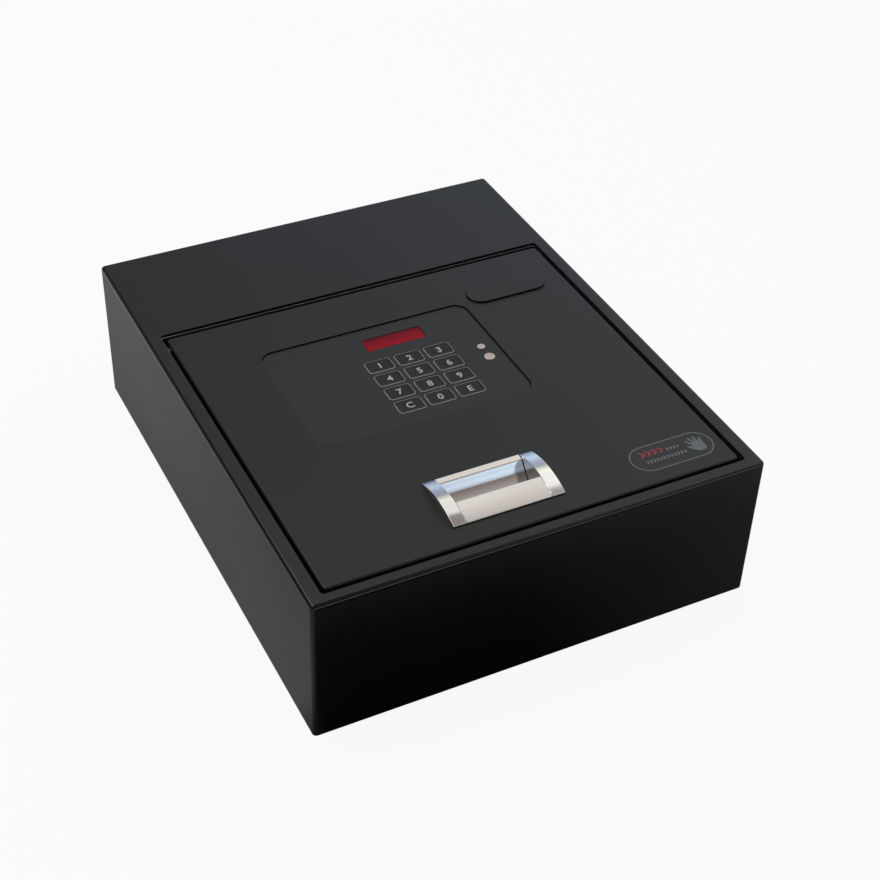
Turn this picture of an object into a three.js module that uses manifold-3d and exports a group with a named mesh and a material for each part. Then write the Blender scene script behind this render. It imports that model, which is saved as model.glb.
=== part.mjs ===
// Top-opening drawer safe: a welded steel casing whose lid carries the keypad, the handle and the
// motor-driven bolts. Millimetres, +Z up, handle end towards -Y. The origin is on the surface that
// the safe stands on, below the middle of the casing.

import * as THREE from 'three';
import { mergeVertices } from 'three/addons/utils/BufferGeometryUtils.js';
import Module from 'manifold-3d';

const wasm = await Module();
wasm.setup();

// Clearances and overruns that all pieces share
const FIT = 0.3;
const OVERRUN = 4;
const SHARP_SHARE = 0.12;
const SAME_SHARE = 0.001;
const HALVINGS = 40;

// Facets of round forms
const CORNER_STEPS = 3;
const WIDE_CORNER_STEPS = 7;
const BEND_STEPS = 4;
const KEY_BEND_STEPS = 2;
const ROD_SIDES = 18;
const CELL_SIDES = 12;
const SMALL_SIDES = 10;
const STEM_SIDES = 8;
const ARC_STEPS = 20;

// Casing: sheets welded along their edges and ground, with the lid opening in the top one
const CASING_WIDTH = 320;
const CASING_DEPTH = 394;
const CASING_HEIGHT = 112;
const CASING_SHEET = 2;
const CASING_BEND = 1.4;
const CASING_FILLET = 0.4;
const CASING_CORNER = 3;
const FRONT_RAIL = 8.2;
const SIDE_RAIL = 10.4;
const OPENING_DEPTH = 283.5;
const OPENING_CORNER = 2.2;

// Base pan, its four fixing holes and the mat that lies in it
const PAN_SHEET = 2;
const PAN_RISE = 16;
const FIXING_RADIUS = 4.5;
const FIXING_INSET_X = 52;
const FIXING_INSET_Y = 62;
const MAT_THICKNESS = 3;
const MAT_CORNER = 6;
const MAT_HOLE_RADIUS = 9;
const MAT_MARGIN = 2;

// Frame of flat bar welded under the edge of the opening
const FRAME_BAR = 2;
const FRAME_DROP = 12;
const EAR_WALL = 2.6;

// Lid pan
const LID_SIDE_GAP = 2.5;
const LID_FRONT_GAP = 3.1;
const LID_REAR_GAP = 5.3;
const LID_SHEET = 3;
const LID_BEND = 1.8;
const LID_CORNER = 3;
const LID_DROP = 12;

// Hinge: a shouldered pin in a flanged bush at each side
const HINGE_DROP = 9;
const HINGE_INSET = 5.15;
const PIN_RADIUS = 3;
const PIN_COLLAR = 0.6;
const PIN_COLLAR_OUT = 1.6;
const PIN_PROUD = 1.5;
const BUSH_WALL = 1.3;
const BUSH_FLANGE = 1;
const BUSH_FLANGE_WIDTH = 1.9;
const BUSH_PROUD = 0.8;

// Rubber buffers in the front corners and the shelves that carry them
const BUFFER_INSET = 25;
const BUFFER_RADIUS = 4;
const BUFFER_TIP_RADIUS = 3.2;
const BUFFER_HEIGHT = 11.4;
const BUFFER_SETBACK = 11.5;
const BUFFER_STEM_RADIUS = 1.8;
const SHELF_SHEET = 2;
const SHELF_WIDTH = 15;
const SHELF_DEPTH = 13.4;
const SHELF_LEAF = 14;

// Inner cover that closes the mechanism off from the cash
const COVER_DROP = 32;
const COVER_SHEET = 1.5;
const COVER_SIDE_GAP = 3;
const COVER_FRONT_GAP = 2.7;
const COVER_REAR_GAP = 12.6;
const COVER_CORNER = 4;
const POST_RADIUS = 4;
const POST_INSET_X = 8.3;
const POST_INSET_Y = 12;
const SCREW_RADIUS = 1.5;
const SCREW_HEAD_RADIUS = 3.4;
const SCREW_HEAD = 2.2;
const SCREW_REACH = 8;
const SCREW_SLOT_WIDTH = 0.9;
const SCREW_SLOT_DEPTH = 0.9;

// Keypad panel, set in a cut-out of the lid. The share says how much of the lid's width that the
// panel leaves free lies between the panel and the middle of the lock.
const PANEL_GAP_SHARE = 0.278;
const PANEL_SETBACK = 120.2;
const PANEL_WIDTH = 158.5;
const PANEL_DEPTH = 111;
const PANEL_CORNER = 9.5;
const PANEL_RECESS = 1;
const PANEL_THICKNESS = 2.3;
const PANEL_RIM = 2.5;
const PANEL_RIM_OUT = 3.5;
const PANEL_RIM_IN = 4;
const PANEL_BOSS_RADIUS = 3;
const PANEL_BOSS_INSET = 4.5;

// Keys
const KEY_INSET = 63.4;
const KEY_SETBACK = 42.9;
const KEY_PITCH_X = 22.7;
const KEY_PITCH_Y = 16.1;
const KEY_WIDTH = 19.9;
const KEY_DEPTH = 13.7;
const KEY_CORNER = 2.6;
const KEY_BEND = 0.5;
const KEY_PROUD = 0.2;
const KEY_CLEARANCE = 0.25;
const KEY_TAB = 1;
const KEY_TAB_OUT = 0.9;
const KEY_STEM_RADIUS = 2;
const KEY_GAP_TO_BOARD = 1.1;
const KEY_LEGENDS = [
  ['key_1', 'key_2', 'key_3'],
  ['key_4', 'key_5', 'key_6'],
  ['key_7', 'key_8', 'key_9'],
  ['key_clear', 'key_0', 'key_enter'],
];

// Display window, the module under it and the circuit board
const WINDOW_INSET_X = 63.65;
const WINDOW_INSET_Y = 19.1;
const WINDOW_WIDTH = 44.4;
const WINDOW_DEPTH = 13.2;
const WINDOW_CORNER = 0.8;
const WINDOW_SUNK = 0.2;
const WINDOW_SHOULDER = 1.2;
const WINDOW_SHOULDER_OUT = 1.2;
const MODULE_MARGIN = 0.2;
const BOARD_MARGIN_X = 7.75;
const BOARD_MARGIN_Y = 5.5;
const BOARD_THICKNESS = 1.6;
const BOARD_DROP = 6.5;
const BOARD_CORNER = 3;

// Contacts that take an outside battery in an emergency
const CONTACT_INSET_X = 11.65;
const CONTACT_INSET_Y = 52.5;
const CONTACT_SMALL_RADIUS = 3;
const CONTACT_PITCH = 12.8;
const CONTACT_LARGE_RADIUS = 4;
const CONTACT_PROUD = 0.35;
const CONTACT_SUNK = 0.4;
const CONTACT_SHANK_RADIUS = 1.4;

// Handle: a cup pull with an apron over its front half, closed by two end caps
const HANDLE_X = -13.7;
const HANDLE_SETBACK = 38.5;
const HANDLE_LENGTH = 79;
const HANDLE_DEPTH = 45;
const HANDLE_RIM = 0.7;
const HANDLE_RISE = 4.5;
const HANDLE_SHEET = 1.2;
const CAP_LENGTH = 9.4;
const APRON_DEPTH = 16;
const CUP_RADIUS = 18.4;
const CUP_SHIFT = -1;
const CUP_LIFT = 5;
const CUP_LIP_DROP = 2;
const CUP_LIP_DEPTH = 2;
const TONGUE = 2.5;
const HANDLE_SCREW_REACH = 2.6;

// Key cover and the override lock under it
const LOCK_INSET_X = 46.9;
const LOCK_INSET_Y = 40.1;
const COVER_PILL_LENGTH = 62.8;
const COVER_PILL_WIDTH = 22.2;
const COVER_PILL_HEIGHT = 1.1;
const COVER_PILL_BEND = 0.6;
const CLIP_PITCH = 36;
const CLIP_WIDTH = 3;
const CLIP_DEPTH = 8;
const CLIP_REACH = 5;
const BARREL_RADIUS = 9.7;
const BARREL_LENGTH = 20.8;
const BARREL_SUNK = 0.2;
const BARREL_FLANGE = 3;
const BARREL_FLANGE_OUT = 3.3;
const PLUG_RADIUS = 6.5;
const PLUG_SUNK = 0.3;
const PLUG_SQUARE = 4;
const KEYWAY_WIDTH = 2.4;
const KEYWAY_LENGTH = 8;
const KEYWAY_DEPTH = 12;
const CAM_THICKNESS = 3;
const CAM_HUB_RADIUS = 4.4;
const CAM_WIDTH = 6;
const CAM_GAP = 0.9;

// Bolts, their guides and the bar that carries them
const BOLT_INSET = 46.1;
const BOLT_DROP = 19.5;
const BOLT_RADIUS = 6;
const BOLT_SETBACK = 3;
const BOLT_TRAVEL = 10;
const BOLT_CHAMFER = 1.2;
const STUD_RADIUS = 2.5;
const STUD_PROUD = 2.5;
const GUIDE_SETBACK = 3;
const GUIDE_LENGTH = 12;
const GUIDE_WALL = 3.5;
const GUIDE_FLANGE = 3;
const GUIDE_FLANGE_OUT = 6;
const BAR_SETBACK = 81.7;
const BAR_THICKNESS = 4;
const BAR_HEIGHT = 12;
const BAR_END = 12;

// Pull rod that the lock's cam pushes back
const ROD_OUT = 12.3;
const ROD_WIDTH = 6;
const ROD_THICKNESS = 4;
const TAB_THICKNESS = 3;
const TAB_LENGTH = 21;

// Rack, drive pinion, gear motor and what carries them
const MODULE = 1;
const PINION_TEETH = 12;
const PRESSURE_ANGLE = THREE.MathUtils.degToRad(25);
const ADDENDUM = 0.85;
const DEDENDUM = 1.1;
const BACKLASH = 0.25;
const FLANK_STEPS = 4;
const DRIVE_X = 39;
const DRIVE_GAP = 19;
const DRIVE_DROP = 13;
const RACK_WIDTH = 6;
const RACK_BACKING = 5;
const RACK_END = 20;
const PINION_WIDTH = 4.8;
const SHAFT_RADIUS = 1.5;
const SHAFT_REACH = 6;
const RACK_GUIDE_FLOOR = 2.5;
const RACK_GUIDE_WALL = 2;
const RACK_GUIDE_CHEEK = 3;
const BRACKET_SHEET = 1.5;
const BRACKET_DEPTH = 19;
const BRACKET_REACH = 17;
const BRACKET_GAP = 3.6;
const MOTOR_RADIUS = 8;
const MOTOR_FLAT = 6.4;
const MOTOR_LENGTH = 35;
const MOTOR_BOSS_RADIUS = 3.2;
const MOTOR_TERMINAL = 2.5;
const MOTOR_TERMINAL_WIDTH = 1.6;
const MOTOR_TERMINAL_SHEET = 0.8;

// Battery box in the inner cover, its cells and its door
const BOX_OFFSET_X = -21.25;
const BOX_OFFSET_Y = 8;
const BOX_WALL = 2;
const BOX_RIM = 3;
const BOX_ROOF_DROP = 12;
const CELL_COUNT = 4;
const CELL_RADIUS = 7.1;
const CELL_LENGTH = 49;
const CELL_NUB = 1.3;
const CELL_NUB_RADIUS = 2.7;
const CELL_GAP = 0.6;
const CELL_MARGIN = 0.5;
const CELL_SPRING_ROOM = 2.2;
const DOOR_THICKNESS = 2;
const DOOR_PIN_REACH = 1.6;
const DOOR_NOTCH_RADIUS = 5;

// Code reset button in the inner cover
const RESET_OFFSET_X = 40.75;
const RESET_OFFSET_Y = 20;
const RESET_RADIUS = 3.7;
const RESET_PROUD = 2;
const RESET_COLLAR = 1.5;
const RESET_COLLAR_OUT = 1.3;
const RESET_STEM_RADIUS = 2;
const RESET_TRAVEL_ROOM = 1.9;

// Places worked out from the sizes above
const OPENING_HALF = CASING_WIDTH / 2 - SIDE_RAIL;
const OPENING_FRONT = FRONT_RAIL - CASING_DEPTH / 2;
const OPENING_BACK = OPENING_FRONT + OPENING_DEPTH;
const LID_HALF = OPENING_HALF - LID_SIDE_GAP;
const LID_FRONT = OPENING_FRONT + LID_FRONT_GAP;
const LID_BACK = OPENING_BACK - LID_REAR_GAP;
const HINGE_Y = LID_BACK - HINGE_INSET;
const BUSH_RADIUS = PIN_RADIUS + FIT + BUSH_WALL;
const LID_SEAT = -LID_SHEET - FIT;
const LOCK_X = LID_HALF - LOCK_INSET_X;
const LOCK_Y = LID_BACK - LOCK_INSET_Y;
const PANEL_GAP = PANEL_GAP_SHARE * (2 * LID_HALF - PANEL_WIDTH);
const PANEL_X = LOCK_X - PANEL_GAP - PANEL_WIDTH / 2;
const PANEL_Y = LID_FRONT + PANEL_SETBACK + PANEL_DEPTH / 2;
const KEY_X = PANEL_WIDTH / 2 - KEY_INSET;
const KEY_Y = KEY_SETBACK - PANEL_DEPTH / 2;
const WINDOW_X = PANEL_WIDTH / 2 - WINDOW_INSET_X;
const WINDOW_Y = PANEL_DEPTH / 2 - WINDOW_INSET_Y;
const BOARD_WIDTH = PANEL_WIDTH - 2 * BOARD_MARGIN_X;
const BOARD_DEPTH = PANEL_DEPTH - 2 * BOARD_MARGIN_Y;
const CONTACT_X = PANEL_WIDTH / 2 - CONTACT_INSET_X;
const CONTACT_SMALL_Y = PANEL_DEPTH / 2 - CONTACT_INSET_Y;
const HANDLE_Y = LID_FRONT + HANDLE_SETBACK;
const COVER_HALF = LID_HALF - LID_SHEET - COVER_SIDE_GAP;
const COVER_FRONT = LID_FRONT + LID_SHEET + COVER_FRONT_GAP;
const COVER_BACK = LID_BACK - LID_SHEET - COVER_REAR_GAP;
const BOLT_X = COVER_HALF - BOLT_INSET;
const BAR_Y = LID_FRONT + BAR_SETBACK;
const DRIVE_Y = BAR_Y + DRIVE_GAP;
const BOX_X = PANEL_X + BOX_OFFSET_X;
const BOX_Y = PANEL_Y + BOX_OFFSET_Y;
const RESET_X = PANEL_X + RESET_OFFSET_X;
const RESET_Y = PANEL_Y + RESET_OFFSET_Y;
const COVER_FLOOR = COVER_SHEET - COVER_DROP;
const COVER_SEAT = COVER_FLOOR + FIT;
const PITCH_RADIUS = (MODULE * PINION_TEETH) / 2;
const RACK_PITCH_Z = -DRIVE_DROP - PITCH_RADIUS;
const CELL_PITCH = 2 * CELL_RADIUS + CELL_GAP;
const BOX_INNER_WIDTH = CELL_COUNT * CELL_PITCH - CELL_GAP + 2 * CELL_MARGIN;
const BOX_INNER_DEPTH = CELL_LENGTH + CELL_NUB + 2 * CELL_SPRING_ROOM;
const ARCH_RADIUS = ((HANDLE_DEPTH / 2) ** 2 + HANDLE_RISE ** 2) / (2 * HANDLE_RISE);
const ARCH_CENTRE_Z = FIT + HANDLE_RIM + HANDLE_RISE - ARCH_RADIUS;
const CUP_BODY_HALF = HANDLE_LENGTH / 2 - CAP_LENGTH;
const BARREL_BOTTOM = -BARREL_SUNK - BARREL_LENGTH;
const CAM_TOP = BARREL_BOTTOM - CAM_GAP;
const CAM_REACH = CAM_HUB_RADIUS + BOLT_TRAVEL;
const PANEL_BACK = -PANEL_THICKNESS;
const POST_PLACES = [
  [COVER_HALF - POST_INSET_X, COVER_FRONT + POST_INSET_Y],
  [POST_INSET_X - COVER_HALF, COVER_FRONT + POST_INSET_Y],
  [COVER_HALF - POST_INSET_X, COVER_BACK - POST_INSET_Y],
  [POST_INSET_X - COVER_HALF, COVER_BACK - POST_INSET_Y],
];
const CONTACTS = [
  { name: 'contact_small', y: CONTACT_SMALL_Y, radius: CONTACT_SMALL_RADIUS },
  { name: 'contact_large', y: CONTACT_SMALL_Y - CONTACT_PITCH, radius: CONTACT_LARGE_RADIUS },
];
const SIDES = [['left', -1], ['right', 1]];

// Finishes
const finish = (color, roughness, metalness) =>
  new THREE.MeshStandardMaterial({ color, roughness, metalness });
const paint = finish(0x3a3c3f, 0.45, 0.3);
const lidPaint = finish(0x3b3c3c, 0.45, 0.3);
const plastic = finish(0x3d3d3e, 0.5, 0);
const keyPlastic = finish(0x333435, 0.5, 0);
const redLens = finish(0x8a2030, 0.2, 0);
const pinkSteel = finish(0xb9a9a6, 0.4, 0.8);
const chrome = finish(0xe6ecf0, 0.08, 1);
const satin = finish(0xc8c0bc, 0.3, 0.9);
const steel = finish(0x9a9c9e, 0.35, 0.9);
const brass = finish(0xb4924f, 0.35, 0.9);
const zinc = finish(0xa8abad, 0.45, 0.8);
const rubber = finish(0x18181a, 0.9, 0);
const nylon = finish(0xd8d6cc, 0.6, 0);
const felt = finish(0x2c2e33, 1, 0);
const boardGreen = finish(0x1d5a37, 0.5, 0);
const blackPlastic = finish(0x1c1c1e, 0.55, 0);
const cellJacket = finish(0x2f4f7d, 0.4, 0.3);
const redPlastic = finish(0xa81e1e, 0.4, 0);

// Turns closed three.js geometry into a solid for joining and cutting, faces outwards.
function solid(geometry) {
  const bare = geometry.clone();
  bare.deleteAttribute('normal');
  bare.deleteAttribute('uv');
  const merged = mergeVertices(bare);
  const corners = merged.index.array;
  const triangles = [];
  for (let i = 0; i < corners.length; i += 3) {
    const [a, b, c] = corners.slice(i, i + 3);
    if (a !== b && b !== c && c !== a) triangles.push(a, b, c);
  }
  const vertProperties = new Float32Array(merged.attributes.position.array);
  const build = (triVerts) =>
    new wasm.Manifold(new wasm.Mesh({ numProp: 3, vertProperties, triVerts: new Uint32Array(triVerts) }));
  const made = build(triangles);
  return made.volume() > 0 ? made : build(triangles.reverse());
}

// Makes a named mesh from a solid.
function piece(name, shape, material) {
  const { vertProperties, triVerts } = shape.getMesh();
  const geometry = new THREE.BufferGeometry();
  geometry.setAttribute('position', new THREE.BufferAttribute(vertProperties, 3));
  geometry.setIndex(new THREE.BufferAttribute(triVerts, 1));
  geometry.computeVertexNormals();
  const mesh = new THREE.Mesh(geometry, material);
  mesh.name = name;
  return mesh;
}

// A group at a place, holding pieces.
function group(place, ...pieces) {
  const made = new THREE.Group();
  made.position.set(...place);
  made.add(...pieces);
  return made;
}

const join = (first, ...others) => others.reduce((whole, other) => whole.add(other), first);
const cut = (first, ...others) => others.reduce((whole, other) => whole.subtract(other), first);

// A rectangular bar between two values on each axis.
function bar([x0, x1], [y0, y1], [z0, z1]) {
  const geometry = new THREE.BoxGeometry(x1 - x0, y1 - y0, z1 - z0);
  return solid(geometry.translate((x0 + x1) / 2, (y0 + y1) / 2, (z0 + z1) / 2));
}

// A round rod from one point to another.
function rod(radius, from, to, sides = ROD_SIDES) {
  const start = new THREE.Vector3(...from);
  const axis = new THREE.Vector3(...to).sub(start);
  const geometry = new THREE.CylinderGeometry(radius, radius, axis.length(), sides);
  const middle = start.clone().addScaledVector(axis, 0.5);
  const turn = new THREE.Quaternion();
  turn.setFromUnitVectors(new THREE.Vector3(0, 1, 0), axis.normalize());
  return solid(geometry.applyQuaternion(turn).translate(...middle.toArray()));
}

// A turned piece about Z, from [radius, height] points that start and end on the axis.
function turned(profile, sides = ROD_SIDES) {
  const points = profile.map(([radius, height]) => new THREE.Vector2(radius, height));
  return solid(new THREE.LatheGeometry(points, sides).rotateX(Math.PI / 2));
}

// The same turned piece laid along X, its profile's heights running towards +X or -X.
function turnedAlongX(profile, side, sides = ROD_SIDES) {
  const points = profile.map(([radius, height]) => new THREE.Vector2(radius, height));
  const geometry = new THREE.LatheGeometry(points, sides);
  return solid(geometry.rotateZ((-side * Math.PI) / 2));
}

// Points of a rounded rectangle, anticlockwise, grown by a distance all round.
function roundedOutline({ width, depth, corner, x = 0, y = 0, steps = CORNER_STEPS }, grow = 0) {
  const radius = Math.max(corner + grow, corner * SHARP_SHARE);
  const points = [];
  const signs = [[1, 1], [-1, 1], [-1, -1], [1, -1]];
  signs.forEach(([sx, sy], quarter) => {
    for (let step = 0; step <= steps; step += 1) {
      const angle = ((quarter + step / steps) * Math.PI) / 2;
      const point = new THREE.Vector2(
        x + sx * (width / 2 + grow - radius) + radius * Math.cos(angle),
        y + sy * (depth / 2 + grow - radius) + radius * Math.sin(angle),
      );
      const last = points[points.length - 1];
      if (!last || last.distanceTo(point) > radius * SAME_SHARE) points.push(point);
    }
  });
  if (points[0].distanceTo(points[points.length - 1]) < radius * SAME_SHARE) points.pop();
  return points;
}

// A closed skin through a stack of outlines that have as many points each.
function loft(levels) {
  const count = levels[0].outline.length;
  const positions = levels.flatMap(({ outline, z }) => outline.flatMap((p) => [p.x, p.y, z]));
  const faces = [];
  for (let level = 0; level + 1 < levels.length; level += 1) {
    for (let i = 0; i < count; i += 1) {
      const a = level * count + i;
      const b = level * count + ((i + 1) % count);
      faces.push(a, b, b + count, a, b + count, a + count);
    }
  }
  const top = (levels.length - 1) * count;
  for (let i = 1; i + 1 < count; i += 1) faces.push(0, i + 1, i, top, top + i, top + i + 1);
  const geometry = new THREE.BufferGeometry();
  geometry.setAttribute('position', new THREE.Float32BufferAttribute(positions, 3));
  geometry.setIndex(faces);
  return solid(geometry);
}

// A rounded rectangular slab from one height to another.
function slab(shape, low, high) {
  const outline = roundedOutline(shape);
  return loft([{ outline, z: low }, { outline, z: high }]);
}

// The outlines round a bend at a slab's top edge, growing or shrinking by the bend's radius.
function bendLevels(shape, bend, high, sign, steps) {
  return Array.from({ length: steps + 1 }, (_, step) => {
    const angle = ((step / steps) * Math.PI) / 2;
    return {
      outline: roundedOutline(shape, sign * bend * (1 - Math.cos(angle))),
      z: high - bend + bend * Math.sin(angle),
    };
  });
}

// A slab whose top edge is bent over by a radius.
function bentSlab(shape, bend, low, high, steps = BEND_STEPS) {
  const foot = { outline: roundedOutline(shape), z: low };
  return loft([foot, ...bendLevels(shape, bend, high, -1, steps)]);
}

// A cutter whose sides flare out at the top, as the edge of an opening folded down by a radius.
function flaredCutter(shape, bend, low, high) {
  const foot = { outline: roundedOutline(shape), z: low };
  const levels = bendLevels(shape, bend, high, 1, BEND_STEPS);
  const above = { outline: levels[levels.length - 1].outline, z: high + OVERRUN };
  return loft([foot, ...levels, above]);
}

// An outline in Y and Z, extruded along X.
function acrossX(points, low, high) {
  const geometry = new THREE.ExtrudeGeometry(new THREE.Shape(points), {
    depth: high - low,
    bevelEnabled: false,
  });
  const turn = new THREE.Matrix4().makeBasis(
    new THREE.Vector3(0, 1, 0),
    new THREE.Vector3(0, 0, 1),
    new THREE.Vector3(1, 0, 0),
  );
  return solid(geometry.applyMatrix4(turn).translate(low, 0, 0));
}

// An outline in X and Z, extruded along Y.
function acrossY(points, low, high) {
  const geometry = new THREE.ExtrudeGeometry(new THREE.Shape(points), {
    depth: high - low,
    bevelEnabled: false,
  });
  return solid(geometry.rotateX(Math.PI / 2).translate(0, high, 0));
}

// Points along an arc, from one angle to another, ends included.
function arcPoints(x, y, radius, from, to, steps = ARC_STEPS) {
  return Array.from({ length: steps + 1 }, (_, step) => {
    const angle = from + ((to - from) * step) / steps;
    return new THREE.Vector2(x + radius * Math.cos(angle), y + radius * Math.sin(angle));
  });
}

const openingOutline = (grow = 0) => ({
  width: 2 * (OPENING_HALF + grow),
  depth: OPENING_BACK - OPENING_FRONT + 2 * grow,
  corner: OPENING_CORNER + grow,
  y: (OPENING_FRONT + OPENING_BACK) / 2,
});

function bodyShell() {
  const outline = { width: CASING_WIDTH, depth: CASING_DEPTH, corner: CASING_CORNER };
  const inside = {
    width: CASING_WIDTH - 2 * CASING_SHEET,
    depth: CASING_DEPTH - 2 * CASING_SHEET,
    corner: CASING_CORNER - CASING_SHEET,
  };
  const innerTop = CASING_HEIGHT - CASING_SHEET;
  const outer = bentSlab(outline, CASING_BEND, 0, CASING_HEIGHT);
  const hollow = bentSlab(inside, CASING_FILLET, -OVERRUN, innerTop);
  const opening = flaredCutter(openingOutline(), CASING_BEND, innerTop - OVERRUN, CASING_HEIGHT);
  return piece('body_shell', cut(outer, hollow, opening), paint);
}

// The frame hangs under the edge of the opening. Its ears carry the hinge bushes.
function lidFrame() {
  const top = CASING_HEIGHT - CASING_SHEET - FIT;
  const bottom = CASING_HEIGHT - FRAME_DROP;
  const hingeZ = CASING_HEIGHT - HINGE_DROP;
  const holeRadius = BUSH_RADIUS + FIT;
  const earRadius = holeRadius + EAR_WALL;
  const ring = cut(
    slab(openingOutline(FRAME_BAR), bottom, top),
    slab(openingOutline(), bottom - OVERRUN, top + OVERRUN),
  );
  const across = (radius, from, to) => rod(radius, [from, HINGE_Y, hingeZ], [to, HINGE_Y, hingeZ]);
  const ears = SIDES.map(([, side]) => {
    const ear = across(earRadius, side * OPENING_HALF, side * (OPENING_HALF + FRAME_BAR));
    const above = bar(
      [-CASING_WIDTH, CASING_WIDTH],
      [HINGE_Y - 2 * earRadius, HINGE_Y + 2 * earRadius],
      [top, top + 2 * earRadius],
    );
    return cut(ear, above);
  });
  const bore = across(holeRadius, -CASING_WIDTH, CASING_WIDTH);
  return piece('lid_frame', cut(join(ring, ...ears), bore), paint);
}

const fixingPlaces = () =>
  SIDES.flatMap(([, sx]) =>
    SIDES.map(([, sy]) => [
      sx * (CASING_WIDTH / 2 - FIXING_INSET_X),
      sy * (CASING_DEPTH / 2 - FIXING_INSET_Y),
    ]),
  );

const fixingHoles = (radius, low, high) =>
  fixingPlaces().map(([x, y]) => rod(radius, [x, y, low - OVERRUN], [x, y, high + OVERRUN]));

function basePan() {
  const outer = {
    width: CASING_WIDTH - 2 * (CASING_SHEET + FIT),
    depth: CASING_DEPTH - 2 * (CASING_SHEET + FIT),
    corner: CASING_CORNER,
  };
  const inner = {
    width: outer.width - 2 * PAN_SHEET,
    depth: outer.depth - 2 * PAN_SHEET,
    corner: outer.corner - PAN_SHEET,
  };
  const pan = cut(slab(outer, 0, PAN_RISE), slab(inner, PAN_SHEET, PAN_RISE + OVERRUN));
  return piece('base_pan', cut(pan, ...fixingHoles(FIXING_RADIUS, 0, PAN_SHEET)), paint);
}

function floorMat() {
  const edge = CASING_SHEET + FIT + PAN_SHEET + MAT_MARGIN;
  const low = PAN_SHEET + FIT;
  const high = low + MAT_THICKNESS;
  const outline = { width: CASING_WIDTH - 2 * edge, depth: CASING_DEPTH - 2 * edge, corner: MAT_CORNER };
  return piece('floor_mat', cut(slab(outline, low, high), ...fixingHoles(MAT_HOLE_RADIUS, low, high)), felt);
}

// The bush stands in the frame's ear, its flange between ear and lid.
function hingeBush(name, side) {
  const inner = OPENING_HALF - FIT - BUSH_FLANGE;
  const shoulder = OPENING_HALF - FIT;
  const outer = OPENING_HALF + FRAME_BAR + BUSH_PROUD;
  const body = turnedAlongX(
    [
      [0, inner],
      [BUSH_RADIUS + BUSH_FLANGE_WIDTH, inner],
      [BUSH_RADIUS + BUSH_FLANGE_WIDTH, shoulder],
      [BUSH_RADIUS, shoulder],
      [BUSH_RADIUS, outer],
      [0, outer],
    ],
    side,
  );
  const bore = rod(PIN_RADIUS + FIT, [side * (inner - OVERRUN), 0, 0], [side * (outer + OVERRUN), 0, 0]);
  return piece(`hinge_bush_${name}`, cut(body, bore), nylon);
}

// The pin is set in the lid's flange, with a collar between flange and bush.
function hingePin(name, side) {
  const start = LID_HALF - LID_SHEET;
  const collar = LID_HALF + FIT;
  const end = OPENING_HALF + FRAME_BAR + BUSH_PROUD + PIN_PROUD;
  const body = turnedAlongX(
    [
      [0, start],
      [PIN_RADIUS, start],
      [PIN_RADIUS, collar],
      [PIN_RADIUS + PIN_COLLAR_OUT, collar],
      [PIN_RADIUS + PIN_COLLAR_OUT, collar + PIN_COLLAR],
      [PIN_RADIUS, collar + PIN_COLLAR],
      [PIN_RADIUS, end - PIN_RADIUS * SHARP_SHARE],
      [PIN_RADIUS * (1 - SHARP_SHARE), end],
      [0, end],
    ],
    side,
  );
  return piece(`hinge_pin_${name}`, body, steel);
}

const bufferX = (side) => side * (CASING_WIDTH / 2 - BUFFER_INSET);
const BUFFER_Y = BUFFER_SETBACK - CASING_DEPTH / 2;
const SHELF_TOP = CASING_HEIGHT - LID_DROP - 2 * FIT - BUFFER_HEIGHT;

// An angle bracket on the front wall, with a hole for the buffer's stem.
function bufferBracket(name, side) {
  const wall = CASING_SHEET + FIT - CASING_DEPTH / 2;
  const across = [bufferX(side) - SHELF_WIDTH / 2, bufferX(side) + SHELF_WIDTH / 2];
  const shelf = bar(across, [wall, wall + SHELF_DEPTH], [SHELF_TOP - SHELF_SHEET, SHELF_TOP]);
  const leaf = bar(across, [wall, wall + SHELF_SHEET], [SHELF_TOP - SHELF_LEAF, SHELF_TOP]);
  const hole = rod(
    BUFFER_STEM_RADIUS + FIT,
    [bufferX(side), BUFFER_Y, SHELF_TOP - SHELF_SHEET - OVERRUN],
    [bufferX(side), BUFFER_Y, SHELF_TOP + OVERRUN],
    SMALL_SIDES,
  );
  return piece(`buffer_bracket_${name}`, cut(join(shelf, leaf), hole), paint);
}

// A tapered rubber buffer that the lid's front edge rests on.
function lidBuffer(name, side) {
  const stemEnd = -SHELF_SHEET - 2 * FIT - BUFFER_STEM_RADIUS;
  const body = turned([
    [0, stemEnd],
    [BUFFER_STEM_RADIUS, stemEnd],
    [BUFFER_STEM_RADIUS, 0],
    [BUFFER_RADIUS, 0],
    [BUFFER_TIP_RADIUS, BUFFER_HEIGHT - BUFFER_TIP_RADIUS * SHARP_SHARE],
    [BUFFER_TIP_RADIUS * (1 - SHARP_SHARE), BUFFER_HEIGHT],
    [0, BUFFER_HEIGHT],
  ]);
  const mesh = piece(`lid_buffer_${name}`, body, rubber);
  mesh.position.set(bufferX(side), BUFFER_Y, SHELF_TOP + FIT);
  return mesh;
}

const lidOutline = (inset = 0) => ({
  width: 2 * (LID_HALF - inset),
  depth: LID_BACK - LID_FRONT - 2 * inset,
  corner: Math.max(LID_CORNER - inset, LID_CORNER * SHARP_SHARE),
  y: (LID_FRONT + LID_BACK) / 2,
});

const panelCutout = (grow = 0) => ({
  width: PANEL_WIDTH + 2 * grow,
  depth: PANEL_DEPTH + 2 * grow,
  corner: PANEL_CORNER + grow,
  x: PANEL_X,
  y: PANEL_Y,
  steps: WIDE_CORNER_STEPS,
});

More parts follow.
